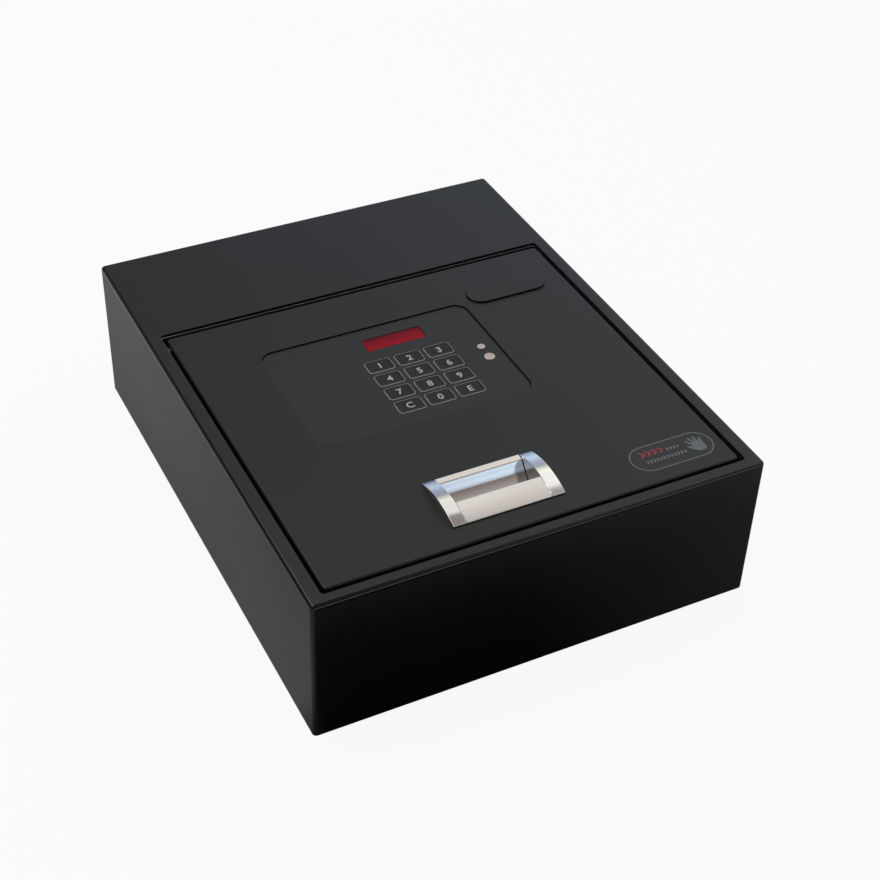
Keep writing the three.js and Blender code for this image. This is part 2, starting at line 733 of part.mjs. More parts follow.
// The cut-out that the handle's cup and the tongues of its caps drop through.
function handleCutout() {
  const reach = cupReach(0, CUP_RADIUS + HANDLE_SHEET) + FIT;
  const halfLength = CUP_BODY_HALF + TONGUE + 2 * FIT;
  return bar(
    [HANDLE_X - halfLength, HANDLE_X + halfLength],
    [HANDLE_Y + CUP_SHIFT - reach, HANDLE_Y + CUP_SHIFT + reach],
    [-LID_SHEET - OVERRUN, OVERRUN],
  );
}

const handleScrewX = (side) => side * (CUP_BODY_HALF + 2 * FIT + TONGUE + SCREW_HEAD_RADIUS);

// Everything that goes through the lid's plate.
function lidHoles() {
  const down = -LID_SHEET - OVERRUN;
  const through = (radius, x, y, sides) => rod(radius, [x, y, down], [x, y, OVERRUN], sides);
  const clips = SIDES.map(([, side]) => {
    const x = LOCK_X + (side * CLIP_PITCH) / 2;
    const half = [CLIP_WIDTH / 2 + FIT, CLIP_DEPTH / 2 + FIT];
    return bar([x - half[0], x + half[0]], [LOCK_Y - half[1], LOCK_Y + half[1]], [down, OVERRUN]);
  });
  const screws = SIDES.map(([, side]) =>
    through(SCREW_RADIUS + FIT, HANDLE_X + handleScrewX(side), HANDLE_Y, SMALL_SIDES),
  );
  return [
    slab(panelCutout(), down, OVERRUN),
    handleCutout(),
    through(BARREL_RADIUS + FIT, LOCK_X, LOCK_Y, ROD_SIDES),
    ...clips,
    ...screws,
  ];
}

// Posts welded under the lid, tapped for the screws of the inner cover.
function lidPosts() {
  return POST_PLACES.map(([x, y]) => {
    const post = rod(POST_RADIUS, [x, y, COVER_SEAT], [x, y, -LID_SHEET], SMALL_SIDES);
    const tapped = rod(
      SCREW_RADIUS + FIT,
      [x, y, COVER_SEAT - OVERRUN],
      [x, y, COVER_SEAT + SCREW_REACH + FIT],
      SMALL_SIDES,
    );
    return cut(post, tapped);
  });
}

function lidShell() {
  const outer = bentSlab(lidOutline(), LID_BEND, -LID_DROP, 0);
  const hollow = slab(lidOutline(LID_SHEET), -LID_DROP - OVERRUN, -LID_SHEET);
  const across = (radius, from, to) => rod(radius, [from, HINGE_Y, -HINGE_DROP], [to, HINGE_Y, -HINGE_DROP]);
  const ears = SIDES.map(([, side]) => across(HINGE_INSET, side * (LID_HALF - LID_SHEET), side * LID_HALF));
  const pinHoles = SIDES.map(([, side]) =>
    across(PIN_RADIUS + FIT, side * (LID_HALF - LID_SHEET - FIT), side * CASING_WIDTH),
  );
  const pan = cut(outer, hollow, ...lidHoles());
  return piece('lid_shell', cut(join(pan, ...ears, ...lidPosts()), ...pinHoles), lidPaint);
}

const boxOuter = (grow = 0) => ({
  width: BOX_INNER_WIDTH + 2 * (BOX_WALL + grow),
  depth: BOX_INNER_DEPTH + 2 * (BOX_WALL + grow),
  corner: BOX_WALL,
  x: BOX_X,
  y: BOX_Y,
});

function innerCover() {
  const outline = (inset) => ({
    width: 2 * (COVER_HALF - inset),
    depth: COVER_BACK - COVER_FRONT - 2 * inset,
    corner: COVER_CORNER - inset,
    y: (COVER_FRONT + COVER_BACK) / 2,
  });
  const under = -COVER_DROP - OVERRUN;
  const hollow = slab(outline(COVER_SHEET), COVER_FLOOR, OVERRUN);
  const tray = cut(slab(outline(0), -COVER_DROP, LID_SEAT), hollow);
  const boltHoles = SIDES.map(([, side]) =>
    rod(
      BOLT_RADIUS + 2 * FIT,
      [side * BOLT_X, COVER_FRONT - OVERRUN, -BOLT_DROP],
      [side * BOLT_X, COVER_FRONT + COVER_SHEET + OVERRUN, -BOLT_DROP],
    ),
  );
  const screwHoles = POST_PLACES.map(([x, y]) =>
    rod(SCREW_RADIUS + FIT, [x, y, under], [x, y, COVER_SEAT], SMALL_SIDES),
  );
  const boxHole = slab(boxOuter(FIT), under, COVER_SEAT);
  const resetHole = rod(RESET_RADIUS + FIT, [RESET_X, RESET_Y, under], [RESET_X, RESET_Y, COVER_SEAT]);
  return piece('inner_cover', cut(tray, ...boltHoles, ...screwHoles, boxHole, resetHole), zinc);
}

// A slotted screw, head down, with its head's upper face at zero.
function slottedScrew(name, reach) {
  const body = turned(
    [
      [0, -SCREW_HEAD],
      [SCREW_HEAD_RADIUS * (1 - SHARP_SHARE), -SCREW_HEAD],
      [SCREW_HEAD_RADIUS, -SCREW_HEAD * (1 - SHARP_SHARE)],
      [SCREW_HEAD_RADIUS, 0],
      [SCREW_RADIUS, 0],
      [SCREW_RADIUS, reach],
      [0, reach],
    ],
    SMALL_SIDES,
  );
  const slot = bar(
    [-SCREW_HEAD_RADIUS - OVERRUN, SCREW_HEAD_RADIUS + OVERRUN],
    [-SCREW_SLOT_WIDTH / 2, SCREW_SLOT_WIDTH / 2],
    [-SCREW_HEAD - OVERRUN, SCREW_SLOT_DEPTH - SCREW_HEAD],
  );
  return piece(name, cut(body, slot), steel);
}

function coverScrews() {
  return POST_PLACES.map(([x, y], index) => {
    const screw = slottedScrew(`cover_screw_${index + 1}`, COVER_SHEET + 2 * FIT + SCREW_REACH);
    screw.position.set(x, y, -COVER_DROP - FIT);
    return screw;
  });
}

const keyPlace = (row, column) => [
  KEY_X + (column - (KEY_LEGENDS[0].length - 1) / 2) * KEY_PITCH_X,
  KEY_Y - (row - (KEY_LEGENDS.length - 1) / 2) * KEY_PITCH_Y,
];

const keyPlaces = () =>
  KEY_LEGENDS.flatMap((names, row) => names.map((name, column) => ({ name, at: keyPlace(row, column) })));

const keyOutline = (grow = 0) => ({
  width: KEY_WIDTH + 2 * grow,
  depth: KEY_DEPTH + 2 * grow,
  corner: KEY_CORNER + grow,
});

const windowOutline = (grow = 0) => ({
  width: WINDOW_WIDTH + 2 * grow,
  depth: WINDOW_DEPTH + 2 * grow,
  corner: WINDOW_CORNER + grow,
  x: WINDOW_X,
  y: WINDOW_Y,
});

// Holes for keys, window and contacts, in the panel's own frame with its face at zero.
function panelHoles() {
  const down = PANEL_BACK - OVERRUN;
  const keys = keyPlaces().map(({ at }) =>
    slab({ ...keyOutline(KEY_CLEARANCE), x: at[0], y: at[1] }, down, OVERRUN),
  );
  const contacts = CONTACTS.flatMap(({ y, radius }) => [
    rod(radius + FIT, [CONTACT_X, y, -CONTACT_SUNK - FIT], [CONTACT_X, y, OVERRUN]),
    rod(CONTACT_SHANK_RADIUS + FIT, [CONTACT_X, y, down], [CONTACT_X, y, OVERRUN], SMALL_SIDES),
  ]);
  return [...keys, ...contacts, slab(windowOutline(FIT), down, OVERRUN)];
}

// A moulded panel that drops into the lid's cut-out, with a rim under the lid and four bosses.
function keypadPanel() {
  const outline = (grow) => ({ ...panelCutout(grow), x: 0, y: 0 });
  const seat = LID_SEAT + PANEL_RECESS;
  const plate = slab(outline(-FIT), PANEL_BACK, 0);
  const rim = cut(
    slab(outline(PANEL_RIM_OUT), seat - PANEL_RIM, seat),
    slab(outline(-PANEL_RIM_IN), seat - PANEL_RIM - OVERRUN, seat + OVERRUN),
  );
  const neck = slab(outline(-FIT), seat - PANEL_RIM, PANEL_BACK);
  const collar = cut(neck, slab(outline(-PANEL_RIM_IN), seat - PANEL_RIM - OVERRUN, OVERRUN));
  const bosses = SIDES.flatMap(([, sx]) =>
    SIDES.map(([, sy]) => {
      const x = sx * (BOARD_WIDTH / 2 - PANEL_BOSS_INSET);
      const y = sy * (BOARD_DEPTH / 2 - PANEL_BOSS_INSET);
      return rod(PANEL_BOSS_RADIUS, [x, y, FIT - BOARD_DROP], [x, y, PANEL_BACK], SMALL_SIDES);
    }),
  );
  return piece('keypad_panel', cut(join(plate, rim, collar, ...bosses), ...panelHoles()), plastic);
}

// A key with retaining tabs on its long sides and a stem that reaches for its switch.
function keypadKey({ name, at }) {
  const tabTop = PANEL_BACK - FIT;
  const tabHalf = [KEY_WIDTH / 2 - KEY_CORNER, KEY_DEPTH / 2 + KEY_TAB_OUT];
  const stemEnd = KEY_GAP_TO_BOARD - BOARD_DROP;
  const body = join(
    bentSlab(keyOutline(), KEY_BEND, tabTop - KEY_TAB, KEY_PROUD, KEY_BEND_STEPS),
    bar([-tabHalf[0], tabHalf[0]], [-tabHalf[1], tabHalf[1]], [tabTop - KEY_TAB, tabTop]),
    rod(KEY_STEM_RADIUS, [0, 0, stemEnd], [0, 0, tabTop], STEM_SIDES),
  );
  const mesh = piece(name, body, keyPlastic);
  mesh.position.set(at[0], at[1], 0);
  return mesh;
}

function displayWindow() {
  const shoulderTop = PANEL_BACK - FIT;
  const lens = slab(windowOutline(), shoulderTop - WINDOW_SHOULDER, -WINDOW_SUNK);
  const shoulder = slab(windowOutline(WINDOW_SHOULDER_OUT), shoulderTop - WINDOW_SHOULDER, shoulderTop);
  return piece('display_window', join(lens, shoulder), redLens);
}

function displayModule() {
  const top = PANEL_BACK - 2 * FIT - WINDOW_SHOULDER;
  const body = slab(windowOutline(-MODULE_MARGIN), FIT - BOARD_DROP, top);
  return piece('display_module', body, blackPlastic);
}

function circuitBoard() {
  const outline = { width: BOARD_WIDTH, depth: BOARD_DEPTH, corner: BOARD_CORNER };
  return piece('circuit_board', slab(outline, -BOARD_DROP - BOARD_THICKNESS, -BOARD_DROP), boardGreen);
}

function contactStud({ name, y, radius }) {
  const body = turned([
    [0, FIT - BOARD_DROP],
    [CONTACT_SHANK_RADIUS, FIT - BOARD_DROP],
    [CONTACT_SHANK_RADIUS, -CONTACT_SUNK],
    [radius, -CONTACT_SUNK],
    [radius, 0],
    [radius * (1 - SHARP_SHARE), CONTACT_PROUD],
    [0, CONTACT_PROUD],
  ]);
  const mesh = piece(name, body, pinkSteel);
  mesh.position.set(CONTACT_X, y, 0);
  return mesh;
}

const archZ = (y, inset = 0) => ARCH_CENTRE_Z + Math.sqrt((ARCH_RADIUS - inset) ** 2 - y ** 2);
const cupZ = (y, radius) => CUP_LIFT - Math.sqrt(radius ** 2 - (y - CUP_SHIFT) ** 2);
const cupReach = (z, radius) => Math.sqrt(radius ** 2 - (CUP_LIFT - z) ** 2);

// Angle of a point on the cup's circle, or on the arch's, seen from the circle's centre.
const cupAngle = (y, z) => Math.atan2(z - CUP_LIFT, y - CUP_SHIFT);
const archAngle = (y, inset = 0) => Math.atan2(archZ(y, inset) - ARCH_CENTRE_Z, y);

// Where the underside of the apron runs into the cup, found by halving.
function apronRoot() {
  let outer = CUP_SHIFT - CUP_RADIUS;
  let inner = CUP_SHIFT;
  for (let round = 0; round < HALVINGS; round += 1) {
    const middle = (outer + inner) / 2;
    if (cupZ(middle, CUP_RADIUS) > archZ(middle, HANDLE_SHEET)) outer = middle;
    else inner = middle;
  }
  return outer;
}

// The section of the handle in Y and Z: apron, cup and rear lip in one bent sheet.
function handleSection() {
  const half = HANDLE_DEPTH / 2;
  const free = APRON_DEPTH - half;
  const root = apronRoot();
  const rootAngle = cupAngle(root, cupZ(root, CUP_RADIUS));
  const underside = ARCH_RADIUS - HANDLE_SHEET;
  const outerCup = CUP_RADIUS + HANDLE_SHEET;
  const lipZ = FIT + HANDLE_RIM - CUP_LIP_DROP;
  const lipStart = CUP_SHIFT + cupReach(lipZ, CUP_RADIUS);
  const lipEnd = half - CUP_LIP_DEPTH;
  const backFoot = CUP_SHIFT + cupReach(FIT, outerCup);
  const frontFoot = CUP_SHIFT - cupReach(FIT, outerCup);
  const lip = new THREE.QuadraticBezierCurve(
    new THREE.Vector2(lipStart, lipZ),
    new THREE.Vector2(lipStart, archZ(lipStart)),
    new THREE.Vector2(lipEnd, archZ(lipEnd)),
  );
  return [
    new THREE.Vector2(-half, FIT),
    ...arcPoints(0, ARCH_CENTRE_Z, ARCH_RADIUS, archAngle(-half), archAngle(free)),
    ...arcPoints(0, ARCH_CENTRE_Z, underside, archAngle(free, HANDLE_SHEET), archAngle(root, HANDLE_SHEET)),
    ...arcPoints(CUP_SHIFT, CUP_LIFT, CUP_RADIUS, rootAngle, cupAngle(lipStart, lipZ)).slice(1),
    ...lip.getPoints(BEND_STEPS).slice(1),
    ...arcPoints(0, ARCH_CENTRE_Z, ARCH_RADIUS, archAngle(lipEnd), archAngle(half), BEND_STEPS).slice(1),
    new THREE.Vector2(half, FIT),
    ...arcPoints(CUP_SHIFT, CUP_LIFT, outerCup, cupAngle(backFoot, FIT), cupAngle(frontFoot, FIT)),
  ];
}

function handleBody() {
  return piece('handle_body', acrossX(handleSection(), -CUP_BODY_HALF, CUP_BODY_HALF), satin);
}

// An end cap: the solid arch on the lid, and a tongue that closes the end of the cup.
function handleCap(name, side) {
  const half = HANDLE_DEPTH / 2;
  const outerCup = CUP_RADIUS + HANDLE_SHEET;
  const arch = [
    new THREE.Vector2(-half, FIT),
    new THREE.Vector2(half, FIT),
    ...arcPoints(0, ARCH_CENTRE_Z, ARCH_RADIUS, archAngle(half), archAngle(-half)),
  ];
  const backFoot = CUP_SHIFT + cupReach(0, outerCup);
  const frontFoot = CUP_SHIFT - cupReach(0, outerCup);
  const disc = [
    new THREE.Vector2(frontFoot, HANDLE_RIM),
    ...arcPoints(CUP_SHIFT, CUP_LIFT, outerCup, cupAngle(frontFoot, 0), cupAngle(backFoot, 0)),
    new THREE.Vector2(backFoot, HANDLE_RIM),
  ];
  const inner = side * (CUP_BODY_HALF + FIT);
  const outer = (side * HANDLE_LENGTH) / 2;
  const span = (from, to) => [Math.min(from, to), Math.max(from, to)];
  const screwX = handleScrewX(side);
  const tapped = rod(
    SCREW_RADIUS + FIT,
    [screwX, 0, -OVERRUN],
    [screwX, 0, HANDLE_SCREW_REACH + 2 * FIT],
    SMALL_SIDES,
  );
  const body = join(
    acrossX(arch, ...span(inner, outer)),
    acrossX(disc, ...span(inner, inner + side * TONGUE)),
  );
  return piece(`handle_cap_${name}`, cut(body, tapped), chrome);
}

function handleScrew(name, side) {
  const screw = slottedScrew(`handle_screw_${name}`, LID_SHEET + FIT + HANDLE_SCREW_REACH);
  screw.position.set(handleScrewX(side), 0, LID_SEAT);
  return screw;
}

// The pill-shaped cover over the key hole, held by two clips in slots of the lid.
function keyCover() {
  const outline = {
    width: COVER_PILL_LENGTH,
    depth: COVER_PILL_WIDTH,
    corner: COVER_PILL_WIDTH / 2,
    steps: WIDE_CORNER_STEPS,
  };
  const plate = bentSlab(outline, COVER_PILL_BEND, FIT, FIT + COVER_PILL_HEIGHT);
  const clips = SIDES.map(([, side]) => {
    const x = (side * CLIP_PITCH) / 2;
    return bar(
      [x - CLIP_WIDTH / 2, x + CLIP_WIDTH / 2],
      [-CLIP_DEPTH / 2, CLIP_DEPTH / 2],
      [-CLIP_REACH, FIT + COVER_PILL_BEND / 2],
    );
  });
  return piece('key_cover', join(plate, ...clips), lidPaint);
}

function lockBarrel() {
  const body = turned([
    [0, BARREL_BOTTOM],
    [BARREL_RADIUS, BARREL_BOTTOM],
    [BARREL_RADIUS, LID_SEAT - BARREL_FLANGE],
    [BARREL_RADIUS + BARREL_FLANGE_OUT, LID_SEAT - BARREL_FLANGE],
    [BARREL_RADIUS + BARREL_FLANGE_OUT, LID_SEAT],
    [BARREL_RADIUS, LID_SEAT],
    [BARREL_RADIUS, -BARREL_SUNK],
    [0, -BARREL_SUNK],
  ]);
  const bore = rod(PLUG_RADIUS + FIT, [0, 0, BARREL_BOTTOM - OVERRUN], [0, 0, OVERRUN]);
  return piece('lock_barrel', cut(body, bore), brass);
}

// The plug turns in the barrel and drives the cam with a square neck.
function lockPlug() {
  const top = -BARREL_SUNK - PLUG_SUNK;
  const half = PLUG_SQUARE / 2;
  const body = rod(PLUG_RADIUS, [0, 0, BARREL_BOTTOM], [0, 0, top]);
  const neck = bar([-half, half], [-half, half], [CAM_TOP - CAM_THICKNESS - FIT, BARREL_BOTTOM + FIT]);
  const keyway = bar(
    [-KEYWAY_WIDTH / 2, KEYWAY_WIDTH / 2],
    [-KEYWAY_LENGTH / 2, KEYWAY_LENGTH / 2],
    [top - KEYWAY_DEPTH, top + OVERRUN],
  );
  return piece('lock_plug', cut(join(body, neck), keyway), steel);
}

// The cam points to -X while the bolts are free to move, and sweeps to +Y.
function lockCam() {
  const low = CAM_TOP - CAM_THICKNESS;
  const half = PLUG_SQUARE / 2 + FIT;
  const tipCentre = CAM_REACH - CAM_WIDTH / 2;
  const hub = rod(CAM_HUB_RADIUS, [0, 0, low], [0, 0, CAM_TOP]);
  const tail = bar([-tipCentre, 0], [-CAM_WIDTH / 2, CAM_WIDTH / 2], [low, CAM_TOP]);
  const tip = rod(CAM_WIDTH / 2, [-tipCentre, 0, low], [-tipCentre, 0, CAM_TOP]);
  const square = bar([-half, half], [-half, half], [low - OVERRUN, CAM_TOP + OVERRUN]);
  return piece('lock_cam', cut(join(hub, tail, tip), square), steel);
}

// A bolt along Y with a chamfered nose and a riveted stud through the bar.
function slidingBolt(name, side) {
  const nose = LID_FRONT + BOLT_SETBACK;
  const tail = BAR_Y - FIT;
  const stud = BAR_Y + BAR_THICKNESS + STUD_PROUD;
  const body = turned([
    [0, -nose],
    [BOLT_RADIUS - BOLT_CHAMFER, -nose],
    [BOLT_RADIUS, -nose - BOLT_CHAMFER],
    [BOLT_RADIUS, -tail],
    [STUD_RADIUS, -tail],
    [STUD_RADIUS, -stud],
    [0, -stud],
  ]).rotate([90, 0, 0]);
  const mesh = piece(`bolt_${name}`, body, steel);
  mesh.position.set(side * BOLT_X, 0, -BOLT_DROP);
  return mesh;
}

// A bearing block that hangs from the lid round each bolt.
function boltGuide(name, side) {
  const front = COVER_FRONT + COVER_SHEET + GUIDE_SETBACK;
  const radius = BOLT_RADIUS + FIT + GUIDE_WALL;
  const top = LID_SEAT + BOLT_DROP;
  const flangeHalf = radius + GUIDE_FLANGE_OUT;
  const outline = [
    new THREE.Vector2(-flangeHalf, top),
    new THREE.Vector2(-flangeHalf, top - GUIDE_FLANGE),
    new THREE.Vector2(-radius, top - GUIDE_FLANGE),
    ...arcPoints(0, 0, radius, -Math.PI, 0, ARC_STEPS / 2),
    new THREE.Vector2(radius, top - GUIDE_FLANGE),
    new THREE.Vector2(flangeHalf, top - GUIDE_FLANGE),
    new THREE.Vector2(flangeHalf, top),
  ];
  const block = acrossY(outline, front, front + GUIDE_LENGTH);
  const bore = rod(BOLT_RADIUS + FIT, [0, front - OVERRUN, 0], [0, front + GUIDE_LENGTH + OVERRUN, 0]);
  const mesh = piece(`bolt_guide_${name}`, cut(block, bore), nylon);
  mesh.position.set(side * BOLT_X, 0, -BOLT_DROP);
  return mesh;
}

// The toothed edge of the rack in Y and Z, a tooth gap under the pinion while the bolts are back.
function rackOutline() {
  const pitch = Math.PI * MODULE;
  const start = BAR_Y + BAR_THICKNESS;
  const end = DRIVE_Y + RACK_END;
  const halfAtPitch = (pitch / 2 - BACKLASH) / 2;
  const slope = Math.tan(PRESSURE_ANGLE);
  const tipHalf = halfAtPitch - ADDENDUM * slope;
  const rootHalf = halfAtPitch + DEDENDUM * slope;
  const root = RACK_PITCH_Z - DEDENDUM;
  const points = [
    new THREE.Vector2(start, root),
    new THREE.Vector2(start, RACK_PITCH_Z - RACK_BACKING),
    new THREE.Vector2(end, RACK_PITCH_Z - RACK_BACKING),
    new THREE.Vector2(end, root),
  ];
  const first = Math.ceil((start - DRIVE_Y + rootHalf) / pitch - 0.5);
  const last = Math.floor((end - DRIVE_Y - rootHalf) / pitch - 0.5);
  for (let tooth = last; tooth >= first; tooth -= 1) {
    const centre = DRIVE_Y + (tooth + 0.5) * pitch;
    points.push(
      new THREE.Vector2(centre + rootHalf, root),
      new THREE.Vector2(centre + tipHalf, RACK_PITCH_Z + ADDENDUM),
      new THREE.Vector2(centre - tipHalf, RACK_PITCH_Z + ADDENDUM),
      new THREE.Vector2(centre - rootHalf, root),
    );
  }
  return points;
}

// The bar ties both bolts together and carries the rack and the lock's pull rod.
function boltBar() {
  const reach = LOCK_X + ROD_OUT;
  const height = [-BOLT_DROP - BAR_HEIGHT / 2, BAR_HEIGHT / 2 - BOLT_DROP];
  const web = bar([-BOLT_X - BAR_END, reach], [BAR_Y, BAR_Y + BAR_THICKNESS], height);
  const studHoles = SIDES.map(([, side]) =>
    rod(
      STUD_RADIUS + FIT,
      [side * BOLT_X, BAR_Y - OVERRUN, -BOLT_DROP],
      [side * BOLT_X, BAR_Y + BAR_THICKNESS + OVERRUN, -BOLT_DROP],
    ),
  );
  const rack = acrossX(rackOutline(), DRIVE_X - RACK_WIDTH / 2, DRIVE_X + RACK_WIDTH / 2);
  const rackRoot = bar(
    [DRIVE_X - RACK_WIDTH / 2, DRIVE_X + RACK_WIDTH / 2],
    [BAR_Y, BAR_Y + BAR_THICKNESS + MODULE],
    [RACK_PITCH_Z - RACK_BACKING, RACK_PITCH_Z - DEDENDUM],
  );
  const rodHeight = [height[0], height[0] + ROD_THICKNESS];
  const tabFront = LOCK_Y + CAM_REACH + 2 * FIT;
  const tabBack = tabFront + TAB_THICKNESS;
  const pull = bar([reach - ROD_WIDTH, reach], [BAR_Y, tabBack], rodHeight);
  const tab = bar([reach - TAB_LENGTH, reach], [tabFront, tabBack], rodHeight);
  return piece('bolt_bar', cut(join(web, rack, rackRoot, pull, tab), ...studHoles), zinc);
}

// Outline of the pinion in Y and Z about its axis, with involute flanks and a tooth straight down.
function pinionOutline() {
  const base = PITCH_RADIUS * Math.cos(PRESSURE_ANGLE);
  const tip = PITCH_RADIUS + ADDENDUM;
  const root = PITCH_RADIUS - DEDENDUM;
  const involute = (angle) => Math.tan(angle) - angle;
  const halfAtPitch = ((Math.PI * MODULE) / 2 - BACKLASH) / (2 * PITCH_RADIUS);
  const halfAt = (radius) =>
    halfAtPitch + involute(PRESSURE_ANGLE) - involute(Math.acos(Math.min(1, base / radius)));
  const radii = Array.from({ length: FLANK_STEPS + 1 }, (_, i) => base + ((tip - base) * i) / FLANK_STEPS);
  const flank = [[root, halfAt(base)], ...radii.map((radius) => [radius, halfAt(radius)])];
  const points = [];
  for (let tooth = 0; tooth < PINION_TEETH; tooth += 1) {
    const centre = (2 * Math.PI * tooth) / PINION_TEETH - Math.PI / 2;
    const rising = flank.map(([radius, half]) => [radius, centre - half]);
    const falling = flank.map(([radius, half]) => [radius, centre + half]).reverse();
    [...rising, ...falling].forEach(([radius, angle]) => {
      points.push(new THREE.Vector2(radius * Math.cos(angle), radius * Math.sin(angle)));
    });
  }
  return points;
}

const BRACKET_X = DRIVE_X + PINION_WIDTH / 2 + BRACKET_GAP;
const MOTOR_X = BRACKET_X + BRACKET_SHEET + FIT;

// The pinion is pressed on the motor's output shaft, so the two are one solid.
function drivePinion() {
  const half = PINION_WIDTH / 2;
  const shaftEnd = MOTOR_X - DRIVE_X + SHAFT_REACH;
  const body = join(
    acrossX(pinionOutline(), -half, half),
    rod(SHAFT_RADIUS, [0, 0, 0], [shaftEnd, 0, 0], SMALL_SIDES),
  );
  const mesh = piece('drive_pinion', body, brass);
  mesh.position.set(DRIVE_X, DRIVE_Y, -DRIVE_DROP);
  return mesh;
}

// A round motor with flats above and below, its boss in the bracket and two terminals behind.
function gearMotor() {
  const end = MOTOR_X + MOTOR_LENGTH;
  const can = rod(MOTOR_RADIUS, [MOTOR_X, 0, 0], [end, 0, 0]);
  const clear = MOTOR_RADIUS + OVERRUN;
  const flats = SIDES.map(([, side]) => {
    const heights = [side * MOTOR_FLAT, side * clear].sort((a, b) => a - b);
    return bar([MOTOR_X - OVERRUN, end + OVERRUN], [-clear, clear], heights);
  });
  const boss = rod(MOTOR_BOSS_RADIUS, [BRACKET_X, 0, 0], [MOTOR_X + OVERRUN, 0, 0], SMALL_SIDES);
  const bore = rod(
    SHAFT_RADIUS + FIT,
    [BRACKET_X - OVERRUN, 0, 0],
    [MOTOR_X + SHAFT_REACH + 2 * FIT, 0, 0],
    SMALL_SIDES,
  );
  const terminals = SIDES.map(([, side]) => {
    const y = side * (MOTOR_FLAT / 2);
    return bar(
      [end - OVERRUN, end + MOTOR_TERMINAL],
      [y - MOTOR_TERMINAL_WIDTH / 2, y + MOTOR_TERMINAL_WIDTH / 2],
      [-MOTOR_TERMINAL_SHEET / 2, MOTOR_TERMINAL_SHEET / 2],
    );
  });
  const mesh = piece('gear_motor', cut(join(cut(can, ...flats), boss, ...terminals), bore), steel);
  mesh.position.set(0, DRIVE_Y, -DRIVE_DROP);
  return mesh;
}

// A bracket under the lid: a leaf round the motor's boss, and a groove that keeps the rack up
// against the pinion.
function motorBracket() {
  const across = [DRIVE_Y - BRACKET_DEPTH / 2, DRIVE_Y + BRACKET_DEPTH / 2];
  const end = BRACKET_X + BRACKET_SHEET;
  const half = RACK_WIDTH / 2 + FIT;
  const floor = RACK_PITCH_Z - RACK_BACKING - FIT;
  const leaf = bar([BRACKET_X, end], across, [floor - RACK_GUIDE_FLOOR, LID_SEAT]);
  const flange = bar([end - BRACKET_REACH, end], across, [LID_SEAT - BRACKET_SHEET, LID_SEAT]);
  const guide = bar(
    [DRIVE_X - half - RACK_GUIDE_WALL, end],
    across,
    [floor - RACK_GUIDE_FLOOR, floor + RACK_GUIDE_CHEEK],
  );
  const groove = bar(
    [DRIVE_X - half, DRIVE_X + half],
    [across[0] - OVERRUN, across[1] + OVERRUN],
    [floor, floor + RACK_GUIDE_CHEEK + OVERRUN],
  );
  const hole = rod(
    MOTOR_BOSS_RADIUS + FIT,
    [BRACKET_X - OVERRUN, DRIVE_Y, -DRIVE_DROP],
    [end + OVERRUN, DRIVE_Y, -DRIVE_DROP],
    SMALL_SIDES,
  );
  return piece('motor_bracket', cut(join(leaf, flange, cut(guide, groove)), hole), zinc);
}

const DOOR_LENGTH = BOX_INNER_DEPTH - 2 * FIT - DOOR_THICKNESS / 2;
const DOOR_AXIS_Y = BOX_Y + BOX_INNER_DEPTH / 2 - FIT - DOOR_THICKNESS / 2;
const DOOR_AXIS_Z = DOOR_THICKNESS / 2 - COVER_DROP;

// A tub that stands in the inner cover, open below, with pivot holes for its door.
function batteryBox() {
  const inner = { ...boxOuter(-BOX_WALL), corner: BOX_WALL / 2 };
  const roof = -BOX_ROOF_DROP;
  const tub = slab(boxOuter(), -COVER_DROP, roof);
  const rim = slab(boxOuter(BOX_RIM), COVER_SEAT, COVER_SEAT + COVER_SHEET);
  const hollow = slab(inner, -COVER_DROP - OVERRUN, roof - BOX_WALL);
  const pivot = rod(
    DOOR_THICKNESS / 2 + FIT,
    [BOX_X - BOX_INNER_WIDTH / 2 - BOX_RIM, DOOR_AXIS_Y, DOOR_AXIS_Z],
    [BOX_X + BOX_INNER_WIDTH / 2 + BOX_RIM, DOOR_AXIS_Y, DOOR_AXIS_Z],
    SMALL_SIDES,
  );
  return piece('battery_box', cut(join(tub, rim), hollow, pivot), blackPlastic);
}

// Round cells side by side, their nubs front and back in turn.
function batteryCell(index) {
  const offset = (index - (CELL_COUNT - 1) / 2) * CELL_PITCH;
  const end = CELL_LENGTH / 2;
  const shoulder = CELL_RADIUS * SHARP_SHARE;
  const body = turned(
    [
      [0, -end],
      [CELL_RADIUS - shoulder, -end],
      [CELL_RADIUS, shoulder - end],
      [CELL_RADIUS, end - shoulder],
      [CELL_RADIUS - shoulder, end],
      [CELL_NUB_RADIUS, end],
      [CELL_NUB_RADIUS, end + CELL_NUB],
      [0, end + CELL_NUB],
    ],
    CELL_SIDES,
  );
  const mesh = piece(`battery_${index + 1}`, body, cellJacket);
  mesh.rotation.x = (index % 2 ? 1 : -1) * (Math.PI / 2);
  mesh.position.set(BOX_X + offset, BOX_Y, -BOX_ROOF_DROP - BOX_WALL - FIT - CELL_RADIUS);
  return mesh;
}

// The door turns on two stub pins at its rear edge. A thumb notch is cut in its front edge.
function batteryDoor() {
  const half = BOX_INNER_WIDTH / 2 - FIT;
  const radius = DOOR_THICKNESS / 2;
  const plate = bar([-half, half], [-DOOR_LENGTH, 0], [-radius, radius]);
  const edge = rod(radius, [-half - DOOR_PIN_REACH, 0, 0], [half + DOOR_PIN_REACH, 0, 0], SMALL_SIDES);
  const notch = rod(DOOR_NOTCH_RADIUS, [0, -DOOR_LENGTH, -OVERRUN], [0, -DOOR_LENGTH, OVERRUN]);
  const mesh = piece('battery_door', cut(join(plate, edge), notch), blackPlastic);
  mesh.position.set(BOX_X, DOOR_AXIS_Y, DOOR_AXIS_Z);
  return mesh;
}

